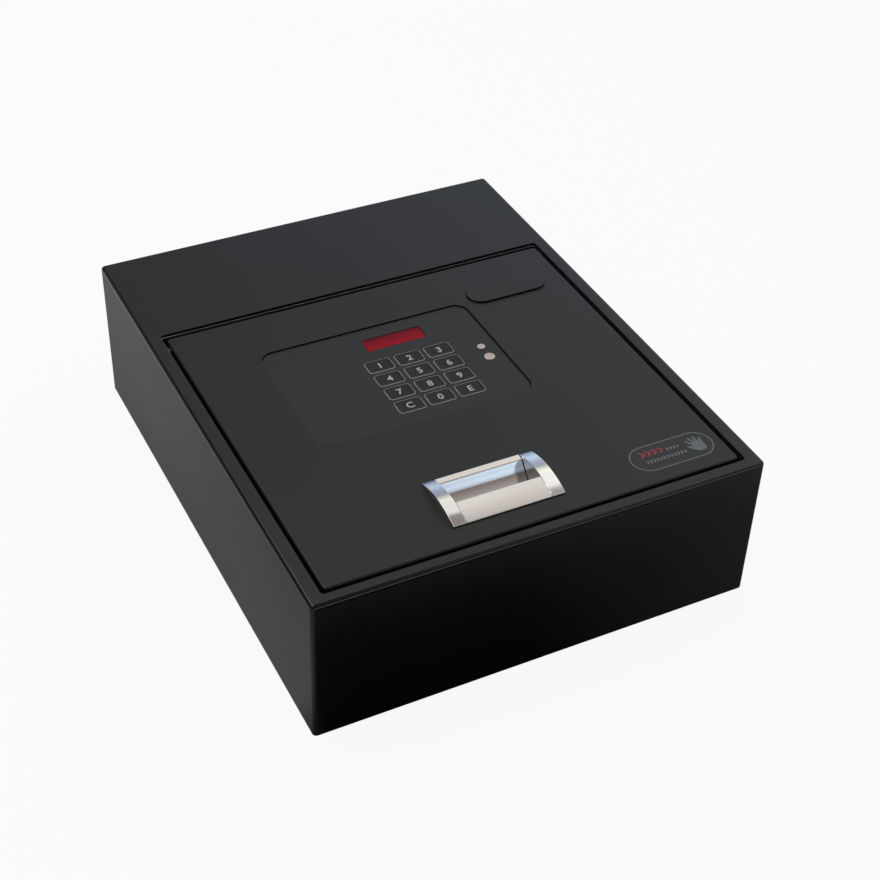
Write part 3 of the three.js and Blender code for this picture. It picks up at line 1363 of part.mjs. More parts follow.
// The reset button stands proud of the inner cover and reaches up to the circuit board.
function resetButton() {
  const face = -COVER_DROP - RESET_PROUD;
  const boardBack = -PANEL_RECESS - BOARD_DROP - BOARD_THICKNESS;
  const collarRadius = RESET_RADIUS + RESET_COLLAR_OUT;
  const body = turned([
    [0, face],
    [RESET_RADIUS * (1 - SHARP_SHARE), face],
    [RESET_RADIUS, face + RESET_RADIUS * SHARP_SHARE],
    [RESET_RADIUS, COVER_SEAT],
    [collarRadius, COVER_SEAT],
    [collarRadius, COVER_SEAT + RESET_COLLAR],
    [RESET_STEM_RADIUS, COVER_SEAT + RESET_COLLAR],
    [RESET_STEM_RADIUS, boardBack - RESET_TRAVEL_ROOM],
    [0, boardBack - RESET_TRAVEL_ROOM],
  ]);
  const mesh = piece('reset_button', body, redPlastic);
  mesh.position.set(RESET_X, RESET_Y, 0);
  return mesh;
}

// Each group is placed by what carries it: hinge line, lid, keypad cut-out, handle and lock.
const bushes = group(
  [0, HINGE_Y, CASING_HEIGHT - HINGE_DROP],
  ...SIDES.map(([name, side]) => hingeBush(name, side)),
);

const pins = group([0, HINGE_Y, -HINGE_DROP], ...SIDES.map(([name, side]) => hingePin(name, side)));

const casing = group(
  [0, 0, 0],
  bodyShell(),
  lidFrame(),
  basePan(),
  floorMat(),
  ...SIDES.flatMap(([name, side]) => [bufferBracket(name, side), lidBuffer(name, side)]),
  bushes,
);

const keypad = group(
  [PANEL_X, PANEL_Y, -PANEL_RECESS],
  keypadPanel(),
  ...keyPlaces().map(keypadKey),
  displayWindow(),
  displayModule(),
  circuitBoard(),
  ...CONTACTS.map(contactStud),
);

const handle = group(
  [HANDLE_X, HANDLE_Y, 0],
  handleBody(),
  ...SIDES.flatMap(([name, side]) => [handleCap(name, side), handleScrew(name, side)]),
);

const lock = group([LOCK_X, LOCK_Y, 0], keyCover(), lockBarrel(), lockPlug(), lockCam());

const battery = group(
  [0, 0, 0],
  batteryBox(),
  batteryDoor(),
  ...Array.from({ length: CELL_COUNT }, (_, index) => batteryCell(index)),
);

const drive = group(
  [0, 0, 0],
  boltBar(),
  ...SIDES.flatMap(([name, side]) => [slidingBolt(name, side), boltGuide(name, side)]),
  drivePinion(),
  gearMotor(),
  motorBracket(),
);

const lid = group(
  [0, 0, CASING_HEIGHT],
  lidShell(),
  innerCover(),
  ...coverScrews(),
  pins,
  keypad,
  handle,
  lock,
  battery,
  drive,
  resetButton(),
);

export default group([0, 0, 0], casing, lid);
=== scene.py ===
import bmesh
import bpy
import numpy as np
from mathutils import Matrix, Vector
from mathutils.geometry import tessellate_polygon


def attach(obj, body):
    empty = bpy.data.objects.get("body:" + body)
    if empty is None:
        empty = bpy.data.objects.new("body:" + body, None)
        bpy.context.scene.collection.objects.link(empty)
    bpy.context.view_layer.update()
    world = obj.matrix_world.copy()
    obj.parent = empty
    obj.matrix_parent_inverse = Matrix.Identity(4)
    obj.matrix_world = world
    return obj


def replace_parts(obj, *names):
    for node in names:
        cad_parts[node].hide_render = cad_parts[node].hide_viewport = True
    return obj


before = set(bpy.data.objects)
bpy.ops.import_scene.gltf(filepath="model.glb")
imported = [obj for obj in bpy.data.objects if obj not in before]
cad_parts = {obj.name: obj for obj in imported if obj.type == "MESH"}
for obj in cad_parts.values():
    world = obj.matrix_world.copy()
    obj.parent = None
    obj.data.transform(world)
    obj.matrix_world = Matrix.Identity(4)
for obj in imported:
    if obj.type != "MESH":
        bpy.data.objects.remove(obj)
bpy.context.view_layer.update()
scene = bpy.context.scene

# Viewpoint
# The camera stands in front of the safe and to its left, above it, and looks down on the lid.
# Its place and turn were fitted to the eight corners of the casing in the picture.
viewpoint = bpy.data.objects.new("viewpoint", bpy.data.cameras.new("viewpoint"))
viewpoint.data.lens = 69.82
viewpoint.data.sensor_width = 36
viewpoint.data.clip_end = 40
right = Vector((0.89437722, -0.44629572, 0.03015822))
up = Vector((0.26074271, 0.5749355, 0.77554008))
turn = Matrix((right, up, right.cross(up))).transposed()
viewpoint.matrix_world = Matrix.Translation((-0.42705, -0.8526, 0.8139)) @ turn.to_4x4()
scene.collection.objects.link(viewpoint)
scene.camera = viewpoint
scene.view_settings.view_transform = "Standard"


# Studio
# A white sweep under one wide lamp and a soft sky. Behind the safe the sky is light blue low down and
# cream high up, in front it is dark with one light blue band, and overhead it is brown grey. In
# reflections the floor carries a painted shadow in front of the safe and painted shade beside it,
# it is painted black under the safe, and it can't be seen from below.
class Wire:
    """A value in a shader tree. Arithmetic on it, from either side, adds Math nodes."""

    def __init__(self, tree, socket):
        self.tree, self.socket = tree, socket

    def math(self, operation, first, second=0.0):
        return self.tree.node("ShaderNodeMath", {"operation": operation}, {0: first, 1: second})

    def __add__(self, other):
        return self.math("ADD", self, other)

    def __sub__(self, other):
        return self.math("SUBTRACT", self, other)

    def __rsub__(self, other):
        return self.math("SUBTRACT", other, self)

    def __mul__(self, other):
        return self.math("MULTIPLY", self, other)

    def __truediv__(self, other):
        return self.math("DIVIDE", self, other)

    def above(self, level, soft):
        """0 below the level, 1 above it, with a ramp as wide as soft between them."""
        rise = (self - (level - soft / 2)) / soft
        return rise.math("MINIMUM", rise.math("MAXIMUM", rise, 0.0), 1.0)

    __radd__ = __add__
    __rmul__ = __mul__


class Tree:
    """The shader tree of a material or of the world, with one method that adds any node."""

    def __init__(self, owner):
        owner.use_nodes = True
        self.owner = owner
        self.nodes, self.links = owner.node_tree.nodes, owner.node_tree.links
        self.nodes.clear()

    def node(self, kind, settings={}, inputs={}, output=0):
        made = self.nodes.new(kind)
        for name, value in settings.items():
            if name == "stops":
                ramp = made.color_ramp.elements
                while len(ramp) < len(value):
                    ramp.new(1.0)
                for stop, (place, colour) in zip(ramp, value):
                    stop.position, stop.color = place, (*colour, 1.0)
            else:
                setattr(made, name, value)
        for key, value in inputs.items():
            if isinstance(value, Wire):
                self.links.new(value.socket, made.inputs[key])
            elif isinstance(value, tuple) and made.inputs[key].type == "RGBA":
                made.inputs[key].default_value = (*value, 1.0)
            else:
                made.inputs[key].default_value = value
        return Wire(self, made.outputs[output]) if made.outputs else None

    def mixed(self, share, low, high):
        """The colour low where share is 0 and high where it is 1."""
        return self.node("ShaderNodeMix", {"data_type": "RGBA"}, {0: share, 6: low, 7: high}, 2)

    def along(self, axis, place):
        """One coordinate of a place or a direction."""
        return self.node("ShaderNodeSeparateXYZ", inputs={0: place}, output=axis)

    def ray(self, kind):
        return self.node("ShaderNodeLightPath", output=kind)


sky_world = bpy.data.worlds.new("sky")
scene.world = sky_world
sky = Tree(sky_world)
way = sky.node("ShaderNodeTexCoord", output="Generated")
rightward, rearward, upward = (sky.along(axis, way) for axis in "XYZ")
height = upward * 0.5 + 0.5
behind = (
    (0.500, (0.13, 0.14, 0.21)),
    (0.560, (0.38, 0.46, 0.58)),
    (0.640, (0.52, 0.65, 0.80)),
    (0.740, (0.36, 0.37, 0.49)),
    (0.792, (0.34, 0.36, 0.38)),
    (0.850, (0.95, 0.95, 0.78)),
    (0.880, (0.88, 0.85, 0.78)),
    (0.943, (0.88, 0.84, 0.77)),
    (0.952, (0.30, 0.26, 0.24)),
    (1.000, (0.20, 0.17, 0.16)),
)
before = (
    (0.500, (0.02, 0.02, 0.02)),
    (0.700, (0.02, 0.02, 0.02)),
    (0.722, (0.76, 0.92, 1.08)),
    (0.765, (0.76, 0.92, 1.08)),
    (0.785, (0.18, 0.16, 0.15)),
    (0.850, (0.22, 0.195, 0.18)),
    (0.900, (0.42, 0.385, 0.36)),
    (1.000, (0.34, 0.305, 0.285)),
)
dome = sky.node("ShaderNodeValToRGB", {"stops": behind}, {0: height})
hood = sky.node("ShaderNodeValToRGB", {"stops": before}, {0: height})
in_front = (rearward * -1.0).above(0.2, 0.6)
around = sky.mixed(in_front, dome, hood)
low_left = (rightward * -1.0).above(0.45, 0.35) * (1.0 - upward.above(0.45, 0.2))
brightness = (rightward.above(0.35, 0.30) * 0.66 + 0.42) * (1.0 - low_left * 0.85) * 1.36
sky_light = sky.node("ShaderNodeBackground", inputs={0: around, 1: brightness})
white = sky.node("ShaderNodeBackground", inputs={0: (1.0, 1.0, 1.0), 1: 1.0})
drawn = sky.node("ShaderNodeMixShader", inputs={0: sky.ray("Is Camera Ray"), 1: sky_light, 2: white})
sky.node("ShaderNodeOutputWorld", inputs={0: drawn})


def lamp(name, place, target, size, power, colour):
    """A rectangular soft lamp at a place in metres, turned to its target."""
    light = bpy.data.lights.new(name, "AREA")
    light.shape, light.size, light.size_y = "RECTANGLE", *size
    light.energy, light.color = power, colour
    made = bpy.data.objects.new(name, light)
    aim = (Vector(place) - Vector(target)).to_track_quat("Z", "Y")
    made.matrix_world = Matrix.Translation(place) @ aim.to_matrix().to_4x4()
    scene.collection.objects.link(made)


lamp("softbox", (-0.5, 0.5, 1.9), (0, 0, 0.1), (1.6, 1.2), 14, (1.0, 0.98, 0.95))

FLOOR_HALF = 30.0
FLOOR_LEVEL = -0.0003
# Where the floor carries the painted shadow of the safe, in metres: its start and end ahead of the middle,
# and its left and right sides.
PAINTED_SHADOW = {"start": 0.18, "end": 0.40, "left": -0.17, "right": 0.2}
UNDER_SAFE = (0.154, 0.191)
sweep_mesh = bpy.data.meshes.new("sweep")
wide, deep = np.meshgrid([-FLOOR_HALF, FLOOR_HALF], [-FLOOR_HALF, FLOOR_HALF])
corners = np.stack([wide.ravel(), deep.ravel(), np.full(4, FLOOR_LEVEL)], -1)
sweep_mesh.from_pydata(corners, [], [(0, 1, 3, 2)])
sweep = bpy.data.objects.new("sweep", sweep_mesh)
scene.collection.objects.link(sweep)
ground = Tree(bpy.data.materials.new("pale_ground"))
spot = ground.node("ShaderNodeTexCoord", output="Object")
spot_x, spot_y = (ground.along(axis, spot) for axis in "XY")
# Painted light and shade on the floor, seen by all rays but the camera's: a painted shadow of the safe in a
# band ahead of it, painted light beyond it and towards the rear, and painted shade a quarter deep except far
# to the left.
forward = spot_y * -1.0
beyond = forward.above(PAINTED_SHADOW["end"], 0.06)
shadow = forward.above(PAINTED_SHADOW["start"], 0.03) * (1.0 - beyond)
shadow = shadow * spot_x.above(PAINTED_SHADOW["left"], 0.04)
shadow = shadow * (1.0 - spot_x.above(PAINTED_SHADOW["right"], 0.4) * 0.8)
bright = beyond * spot_x.above(PAINTED_SHADOW["left"], 0.1) * 1.5 + spot_y.above(0.15, 0.3) * 0.12 + 0.42
clear_of_shade = (spot_x * -1.0).above(0.19, 0.06)
tone = bright * (1.0 - shadow * 0.97) * (clear_of_shade * 0.25 + 0.75)
# Under the safe the floor is painted black, as its shade, for the camera and in reflections, and for other
# rays it glows as painted light on the base from below.
off_x, off_y = (axis.math("ABSOLUTE", axis) for axis in (spot_x, spot_y))
footprint_shade_and_glow = (1.0 - off_x.above(UNDER_SAFE[0], 0.006)) * (1.0 - off_y.above(UNDER_SAFE[1], 0.006))
seen, mirrored = ground.ray("Is Camera Ray"), ground.ray("Is Glossy Ray")
paper = ground.mixed(seen, ground.mixed(tone, (0.0, 0.0, 0.0), (0.8, 0.8, 0.8)), (0.8, 0.8, 0.8))
matt = ground.node("ShaderNodeBsdfDiffuse", inputs={0: paper})
spread = 1.0 - seen - mirrored
strength = (seen + mirrored * tone) * (1.0 - footprint_shade_and_glow) + spread * footprint_shade_and_glow * 0.6
glow = ground.node("ShaderNodeEmission", inputs={0: (1.0, 1.0, 1.0), 1: strength})
glowing = seen * 0.92 + mirrored + spread * footprint_shade_and_glow
lit = ground.node("ShaderNodeMixShader", inputs={0: glowing, 1: matt, 2: glow})
below = ground.node("ShaderNodeNewGeometry", output="Backfacing") * seen
clear = ground.node("ShaderNodeBsdfTransparent")
lit = ground.node("ShaderNodeMixShader", inputs={0: below, 1: lit, 2: clear})
ground.node("ShaderNodeOutputMaterial", inputs={0: lit})
sweep_mesh.materials.append(ground.owner)


# Casing
# Sheets of 2 mm steel, welded along all their edges, ground round there and powder coated black,
# semi-gloss. The opening for the lid is cut into the top and the shell is open below.
MM = 0.001
CASING = {"width": 320, "depth": 394, "corner": 3, "x": 0, "y": 0}
OPENING = {"width": 299.2, "depth": 283.5, "corner": 2.2, "x": 0, "y": -47.05}
CASING_TOP = 112
CASING_WALL = 2
CASING_BEND = 2.5
FOOT_EDGE = 0.35
OPENING_EDGE = 0.4
EASE_SHARE = 0.29


def ring(outline, grow, height, steps=6):
    """Points of a rounded rectangle: each quarter is corner centre + radius (cos, sin), grown
    all round by a distance, at one height."""
    radius = max(outline["corner"] + grow, 0.05)
    angle = np.arange(4)[:, None] * np.pi / 2 + np.linspace(0, np.pi / 2, steps + 1)
    signs = np.array([[1, 1], [-1, 1], [-1, -1], [1, -1]])[:, None]
    half = np.array([outline["width"], outline["depth"]]) / 2 + grow - radius
    flat = signs * half + radius * np.stack([np.cos(angle), np.sin(angle)], -1)
    flat = flat.reshape(-1, 2) + (outline["x"], outline["y"])
    return np.column_stack([flat, np.full(len(flat), height)])


def rounded(outline, inset, height, radius, start, end, steps=6):
    """Rings of a rounded edge: inset + radius (1 - cos t) and height + radius sin t, with t
    from start to end in quarter turns."""
    turns = np.linspace(start, end, steps + 1) * np.pi / 2
    return [
        ring(outline, -inset - radius * (1 - np.cos(t)), height + radius * np.sin(t)) for t in turns
    ]


def skin(rows, turns=False, ends=False):
    """Faces between rows of points, each row a closed loop. turns joins the last row to the
    first, and ends closes the first and the last row with a face each."""
    rows = np.asarray(rows, float)
    index = np.arange(rows.shape[0] * rows.shape[1]).reshape(rows.shape[:2])
    low, high = (index, np.roll(index, -1, 0)) if turns else (index[:-1], index[1:])
    faces = np.stack([low, np.roll(low, -1, 1), np.roll(high, -1, 1), high], -1)
    closing = [index[0][::-1].tolist(), index[-1].tolist()] if ends else []
    return rows.reshape(-1, 3), faces.reshape(-1, 4).tolist() + closing


def tidy_mesh(mesh, sharp, whole=False):
    """Merges doubles, makes flat faces whole if asked, turns the faces outwards and marks edges
    over an angle in degrees as sharp."""
    work = bmesh.new()
    work.from_mesh(mesh)
    bmesh.ops.remove_doubles(work, verts=work.verts, dist=1e-6)
    if whole:
        bmesh.ops.dissolve_limit(work, angle_limit=np.radians(0.5), verts=work.verts, edges=work.edges)
    bmesh.ops.recalc_face_normals(work, faces=work.faces)
    work.to_mesh(mesh)
    work.free()
    mesh.shade_smooth()
    mesh.set_sharp_from_angle(angle=np.radians(sharp))


def fitted(name, mesh, finish, body):
    """An object from a mesh, in its finish, riding on a body of the frame."""
    mesh.materials.clear()
    mesh.materials.append(finish)
    made = bpy.data.objects.new(name, mesh)
    scene.collection.objects.link(made)
    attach(made, body)
    return made


def made_piece(name, finish, body, slot, *skins, sharp=35):
    """A piece from closed skins given in millimetres."""
    starts = np.cumsum([0] + [len(points) for points, _ in skins])
    faces = [[i + start for i in face] for start, (_, some) in zip(starts, skins) for face in some]
    mesh = bpy.data.meshes.new(name)
    mesh.from_pydata(np.concatenate([points for points, _ in skins]) * MM, [], faces)
    tidy_mesh(mesh, sharp)
    return fitted(name, mesh, finish, body)


class Finish(Tree):
    """A material on Object coordinates, in metres."""

    def __init__(self, name):
        super().__init__(bpy.data.materials.new(name))
        self.place = self.node("ShaderNodeTexCoord", output="Object")

    def millimetres(self, axis):
        """The place along one axis."""
        return self.along(axis, self.place) * 1000.0

    def noise(self, scale, detail=2.0, stretch=(1.0, 1.0, 1.0)):
        """Smooth noise round 0.5, finer with scale, drawn out where stretch is small."""
        place = self.node("ShaderNodeMapping", inputs={"Vector": self.place, "Scale": stretch})
        return self.node("ShaderNodeTexNoise", inputs={"Vector": place, "Scale": scale, "Detail": detail})

    def shade(self, colour, roughness, relief=None, depth=0.0, **constant):
        """Ends the tree. relief is a height from 0 to 1, and depth is its size in metres."""
        inputs = {"Base Color": colour, "Roughness": roughness}
        inputs.update({name.replace("_", " "): value for name, value in constant.items()})
        if relief:
            bumps = {"Height": relief, "Distance": depth, "Strength": 1.0}
            inputs["Normal"] = self.node("ShaderNodeBump", inputs=bumps)
        surface = self.node("ShaderNodeBsdfPrincipled", inputs=inputs)
        self.node("ShaderNodeOutputMaterial", inputs={0: surface})
        return self.owner


def powder_coat(name, colour, roughness, level, bright_edge=None, gloss=None):
    """Powder coat: orange peel of two sizes, with sparse duller specks where it is thin. The fifth
    argument gives the share of a painted highlight in bright metal, and gloss how far it has run smooth."""
    coat = Finish(name)
    peel = coat.noise(520) * 0.7 + coat.noise(1500, 1.0) * 0.3
    cloud = coat.noise(14, 3.0)
    tone = coat.mixed(cloud, tuple(0.85 * c for c in colour), tuple(1.15 * c for c in colour))
    speck = coat.noise(2600, 1.0).above(0.68, 0.08)
    rough = cloud * 0.06 + speck * 0.12 + (roughness - 0.03)
    metal = 0.0
    if gloss:
        rough = rough - gloss(coat) * 0.24
    # Painted highlight: bright metal colour and metal sheen mixed in where the edge mask is high.
    if bright_edge:
        metal = bright_edge(coat)
        tone = coat.mixed(metal, tone, (0.62, 0.62, 0.61))
    return coat.shade(tone, rough, peel, 0.000012, Metallic=metal, Specular_IOR_Level=level)


def run_smooth(coat):
    """The rounded edges round the top, on which the wet coat is thin and runs smooth."""
    level = coat.millimetres("Z")
    return level.above(108.6, 0.5) * (1.0 - level.above(111.96, 0.04))


casing_coat = powder_coat("casing_coat", (0.0068, 0.0070, 0.0072), 0.36, 0.40, gloss=run_smooth)
ceiling = CASING_TOP - CASING_WALL
casing_rows = [
    ring(CASING, -FOOT_EDGE, 0),
    *rounded(CASING, 0, FOOT_EDGE, FOOT_EDGE, -1, 0, 3),
    ring(CASING, 0, CASING_TOP - CASING_BEND - 1.5),
    *rounded(CASING, 0, CASING_TOP - CASING_BEND, CASING_BEND, 0, 1, 12),
    ring(CASING, -CASING_BEND - 0.5, CASING_TOP),
    ring(OPENING, 2.5 * OPENING_EDGE, CASING_TOP),
    ring(OPENING, OPENING_EDGE, CASING_TOP),
    ring(OPENING, EASE_SHARE * OPENING_EDGE, CASING_TOP - EASE_SHARE * OPENING_EDGE),
    ring(OPENING, 0, CASING_TOP - OPENING_EDGE),
    ring(OPENING, 0, ceiling + 0.2),
    ring(OPENING, 0.2, ceiling),
    ring(CASING, -CASING_WALL - 1, ceiling),
    ring(CASING, -CASING_WALL - 0.3, ceiling - 0.3),
    ring(CASING, -CASING_WALL, ceiling - 1),
    ring(CASING, -CASING_WALL, 0.3),
    ring(CASING, -CASING_WALL + 0.3, 0),
]
casing = made_piece("casing", casing_coat, "casing", "casing_paint", skin(casing_rows, turns=True))
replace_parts(casing, "body_shell")


# Frame, base pan, shelves and what is fitted to them
# A ring of flat bar is welded under the edge of the opening and a folded pan closes the bottom,
# both coated with the casing. Nylon bushes for the hinge and rubber buffers are pressed in.
def eased(piece, width, segments):
    """Rounds the sharp edges of a piece, over a width in millimetres, with a live Bevel."""
    edge = piece.modifiers.new("edge", "BEVEL")
    edge.width, edge.segments, edge.limit_method = width * MM, segments, "ANGLE"
    edge.angle_limit, edge.harden_normals = np.radians(30), True
    return piece


def dressed(node, finish, body, width):
    """A copy of a CAD node with its loose triangles merged, flat faces made whole and edges
    rounded over a width. It takes the node's place."""
    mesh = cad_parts[node].data.copy()
    tidy_mesh(mesh, 30, whole=True)
    made = eased(fitted(f"dressed_{node}", mesh, finish, body), width, 2)
    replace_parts(made, node)


frame_coat = powder_coat("frame_coat", (0.010, 0.010, 0.0105), 0.34, 0.4)
for node in ("base_pan", "buffer_bracket_left", "buffer_bracket_right"):
    dressed(node, frame_coat, "casing", 0.3)


def painted_edge_highlight(coat):
    """A painted highlight along the top edge of the bar behind the lid, brightest at its left end."""
    x, y, z = (coat.millimetres(axis) for axis in "XYZ")
    edge = y.above(93.5, 0.5) * z.above(108.6, 0.4) * (coat.noise(300).above(0.4, 0.3) * 0.5 + 0.5)
    return edge * ((x * -1.0).above(132, 12) * 0.4 + 0.6)


# The lid frame gets the coat with the painted highlight along its top edge.
edge_highlight_coat = powder_coat("edge_highlight_coat", (0.010, 0.010, 0.0105), 0.34, 0.4, painted_edge_highlight)
dressed("lid_frame", edge_highlight_coat, "casing", 0.6)

moulded_nylon = Finish("moulded_nylon")
nylon_grain = moulded_nylon.noise(1800, 3.0)
nylon_tone = moulded_nylon.mixed(moulded_nylon.noise(220), (0.018, 0.018, 0.019), (0.028, 0.028, 0.029))
moulded_nylon.shade(nylon_tone, nylon_grain * 0.15 + 0.45, nylon_grain, 0.00001)
dull_rubber = Finish("dull_rubber")
bloom = dull_rubber.noise(900, 4.0)
rubber_tone = dull_rubber.mixed(bloom, (0.010, 0.010, 0.011), (0.022, 0.022, 0.023))
dull_rubber.shade(rubber_tone, bloom * 0.2 + 0.7, bloom, 0.00002)
for side in ("left", "right"):
    dressed(f"hinge_bush_{side}", moulded_nylon.owner, "casing", 0.2)
    dressed(f"lid_buffer_{side}", dull_rubber.owner, "casing", 0.3)


# Floor mat
# A sheet of charcoal needle felt, die cut with rounded corners and with round holes over the
# fixing holes of the base pan. It is laid in loose, so that it lifts out.
needle_felt = Finish("needle_felt")
fibre = needle_felt.noise(2400, 5.0, (1.0, 0.35, 1.0)) * 0.5
fibre = fibre + needle_felt.noise(1700, 4.0, (0.3, 1.0, 1.0)) * 0.5
tuft = needle_felt.noise(260, 3.0)
felt_tone = needle_felt.mixed(fibre * 0.7 + tuft * 0.3, (0.008, 0.009, 0.011), (0.050, 0.053, 0.060))
needle_felt.shade(felt_tone, fibre * 0.1 + 0.88, fibre, 0.0004, Sheen_Weight=0.3, Sheen_Roughness=0.5)
dressed("floor_mat", needle_felt.owner, "casing", 0.6)


# Lid
# A folded pan of 3 mm steel, coated like the casing. Holes for the panel, the cup of the handle,
# the lock and two clips are laser cut, and posts and hinge ears are welded under it.
LID = {"width": 294.2, "depth": 275.1, "corner": 3, "x": 0, "y": -48.15}
PANEL = {"width": 158.5, "depth": 111, "corner": 9.5, "x": -16.775, "y": -10}
LID_TOP = 112
LID_UNDER = 109
LID_FLANGE = 12
LID_WALL = 3
LID_BEND = 1.8
HINGE = (84.25, 103)
HANDLE_AT = (-13.7, -147.2)
CUP_HOLE = {"half": 33.2, "front": -20.24, "rear": 18.24}
LOCK_AT = (100.2, 49.3)
LOCK_HOLE = 10
CLIP_OFF = 18
CLIP_SLOT = (1.8, 4.3)
CORNER_FINE = 12


def circle(x, y, radius, height, count=48):
    """Points of a level circle: centre + radius (cos, sin)."""
    angle = np.arange(count) * 2 * np.pi / count
    return np.stack([x + radius * np.cos(angle), y + radius * np.sin(angle), np.full(count, height)], -1)


def plate_face(loops):
    """A flat face between an outer loop and the loops of its holes, cut into triangles."""
    triangles = tessellate_polygon([[Vector(point) for point in loop] for loop in loops])
    return np.concatenate(loops), [list(triangle) for triangle in triangles]


def hole_walls(loop, high, low, edge=0.35):
    """The wall of a hole, with a small round edge at its upper end and a flat margin round
    that. loop(grow, height) gives its plan grown by a distance, at a height."""
    ease = EASE_SHARE * edge
    rows = [loop(2 * edge, high), loop(edge, high), loop(ease, high - ease)]
    return skin(rows + [loop(0, high - edge), loop(0, low)])


def box_loop(x0, x1, y0, y1):
    """The plan of a rectangular hole, as a function of how far it grows and of its height."""
    outline = {"width": x1 - x0, "depth": y1 - y0, "corner": 0.6, "x": (x0 + x1) / 2, "y": (y0 + y1) / 2}
    return lambda grow, height: ring(outline, grow, height)


lid_holes = [
    lambda grow, height: ring(PANEL, grow, height, CORNER_FINE),
    box_loop(
        HANDLE_AT[0] - CUP_HOLE["half"],
        HANDLE_AT[0] + CUP_HOLE["half"],
        HANDLE_AT[1] + CUP_HOLE["front"],
        HANDLE_AT[1] + CUP_HOLE["rear"],
    ),
    lambda grow, height: circle(*LOCK_AT, LOCK_HOLE + grow, height),
    *(
        box_loop(x - CLIP_SLOT[0], x + CLIP_SLOT[0], LOCK_AT[1] - CLIP_SLOT[1], LOCK_AT[1] + CLIP_SLOT[1])
        for x in (LOCK_AT[0] - CLIP_OFF, LOCK_AT[0] + CLIP_OFF)
    ),
]
lid_coat = powder_coat("lid_coat", (0.0070, 0.0072, 0.0070), 0.36, 0.40)
lid_foot = LID_TOP - LID_FLANGE
lid_outer = [
    ring(LID, -FOOT_EDGE, lid_foot),
    *rounded(LID, 0, lid_foot + FOOT_EDGE, FOOT_EDGE, -1, 0, 3),
    ring(LID, 0, LID_TOP - LID_BEND - 0.6),
    *rounded(LID, 0, LID_TOP - LID_BEND, LID_BEND, 0, 1, 9),
    ring(LID, -LID_BEND - 0.6, LID_TOP),
]
lid_inner = [
    ring(LID, -LID_WALL - 1, LID_UNDER),
    ring(LID, -LID_WALL - 0.4, LID_UNDER),
    ring(LID, -LID_WALL, LID_UNDER - 0.4),
    ring(LID, -LID_WALL, lid_foot),
]
lid_skins = [
    skin(lid_outer),
    plate_face([lid_outer[-1]] + [hole(0.7, LID_TOP) for hole in lid_holes]),
    *(hole_walls(hole, LID_TOP, LID_UNDER) for hole in lid_holes),
    plate_face([lid_inner[0]] + [hole(0, LID_UNDER) for hole in lid_holes]),
    skin(lid_inner),
    skin([lid_inner[-1], lid_outer[0]]),
]


def tube(x, y, profile, count=24):
    """A closed form turned about an upright axis. Its profile of (radius, height) points starts
    and ends on the axis, or runs back to its start."""
    rows = [circle(x, y, radius, height, count) for radius, height in profile]
    return skin(rows, turns=profile[0][0] > 0)


def across(points, side):
    """Turns points made about an upright axis so that the axis lies along X, to one side."""
    return np.stack([side * points[:, 2], points[:, 1], points[:, 0]], -1)


post = [(0, 109.05), (4, 109.05), (4, 90.2), (3.7, 89.9), (2.1, 89.9), (1.8, 90.2), (1.8, 98.6), (0, 98.6)]
for x in (-132.8, 132.8):
    for y in (-168, 61.8):
        lid_skins.append(tube(x, y, post))
hinge_ear = [(3.3, 144), (5.15, 144), (5.15, 147.15), (3.3, 147.15)]
for side in (-1, 1):
    points, faces = tube(0, 0, hinge_ear, 32)
    lid_skins.append((across(points, side) + (0, *HINGE), faces))
lid = made_piece("lid", lid_coat, "lid", "lid_paint", *lid_skins)
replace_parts(lid, "lid_shell")


# Inner cover, its screws and the hinge pins
# A tray of 1.5 mm zinc-plated steel under the lid, passivated blue, with openings for the bolts,
# the battery box and the reset button. Four slotted screws hold it; the pins are turned steel.
zinc_plate = Finish("zinc_plate")
spangle = zinc_plate.node(
    "ShaderNodeTexVoronoi", {"feature": "F1"}, {"Vector": zinc_plate.place, "Scale": 90.0}, "Color"
)
spangle = zinc_plate.along("X", spangle)
hue = zinc_plate.noise(16, 3.0)
zinc_tone = zinc_plate.mixed(hue, (0.46, 0.49, 0.53), (0.60, 0.59, 0.55))
roll = zinc_plate.noise(700, 2.0, (1.0, 0.02, 1.0))
zinc_plate.shade(zinc_tone, spangle * 0.10 + roll * 0.12 + 0.27, roll, 0.000004, Metallic=1.0)
dressed("inner_cover", zinc_plate.owner, "lid", 0.3)

plain_steel = Finish("plain_steel")
grind = plain_steel.noise(900, 3.0, (0.05, 1.0, 1.0))
steel_tone = plain_steel.mixed(plain_steel.noise(60, 3.0), (0.42, 0.42, 0.42), (0.54, 0.53, 0.52))
plain_steel.shade(steel_tone, grind * 0.15 + 0.25, grind, 0.000004, Metallic=1.0)
for number in range(1, 5):
    dressed(f"cover_screw_{number}", plain_steel.owner, "lid", 0.15)
for side in ("left", "right"):
    dressed(f"hinge_pin_{side}", plain_steel.owner, "lid", 0.15)


# Keypad panel
# A moulding of dark ABS with a fine sparked grain, clipped up against the lid with a rim under
# its edge, so that its face lies 1 mm below the lid. Keys, window and contacts sit in its holes.
PANEL_TOP = 111
PANEL_UNDER = 108.7
BOSS = {"radius": 3, "low": 104.8, "left": -83.775, "right": 50.225, "front": -55.5, "rear": 35.5}
KEY = {"width": 19.9, "depth": 13.7, "corner": 2.6, "x": 0, "y": 0}
KEY_PITCH = (22.7, 16.1)
KEYS_AT = (-0.925, -22.6)
KEY_GAP = 0.25
INSERT_GAP = 0.3
KEY_ROWS = (("1", "2", "3"), ("4", "5", "6"), ("7", "8", "9"), ("C", "0", "E"))
KEY_BODIES = {"C": "key_clear", "E": "key_enter"}
WINDOW = {"width": 44.4, "depth": 13.2, "corner": 0.8, "x": -1.175, "y": 26.4}
CONTACTS = (("contact_small", 50.825, -7, 3), ("contact_large", 50.825, -19.8, 4))
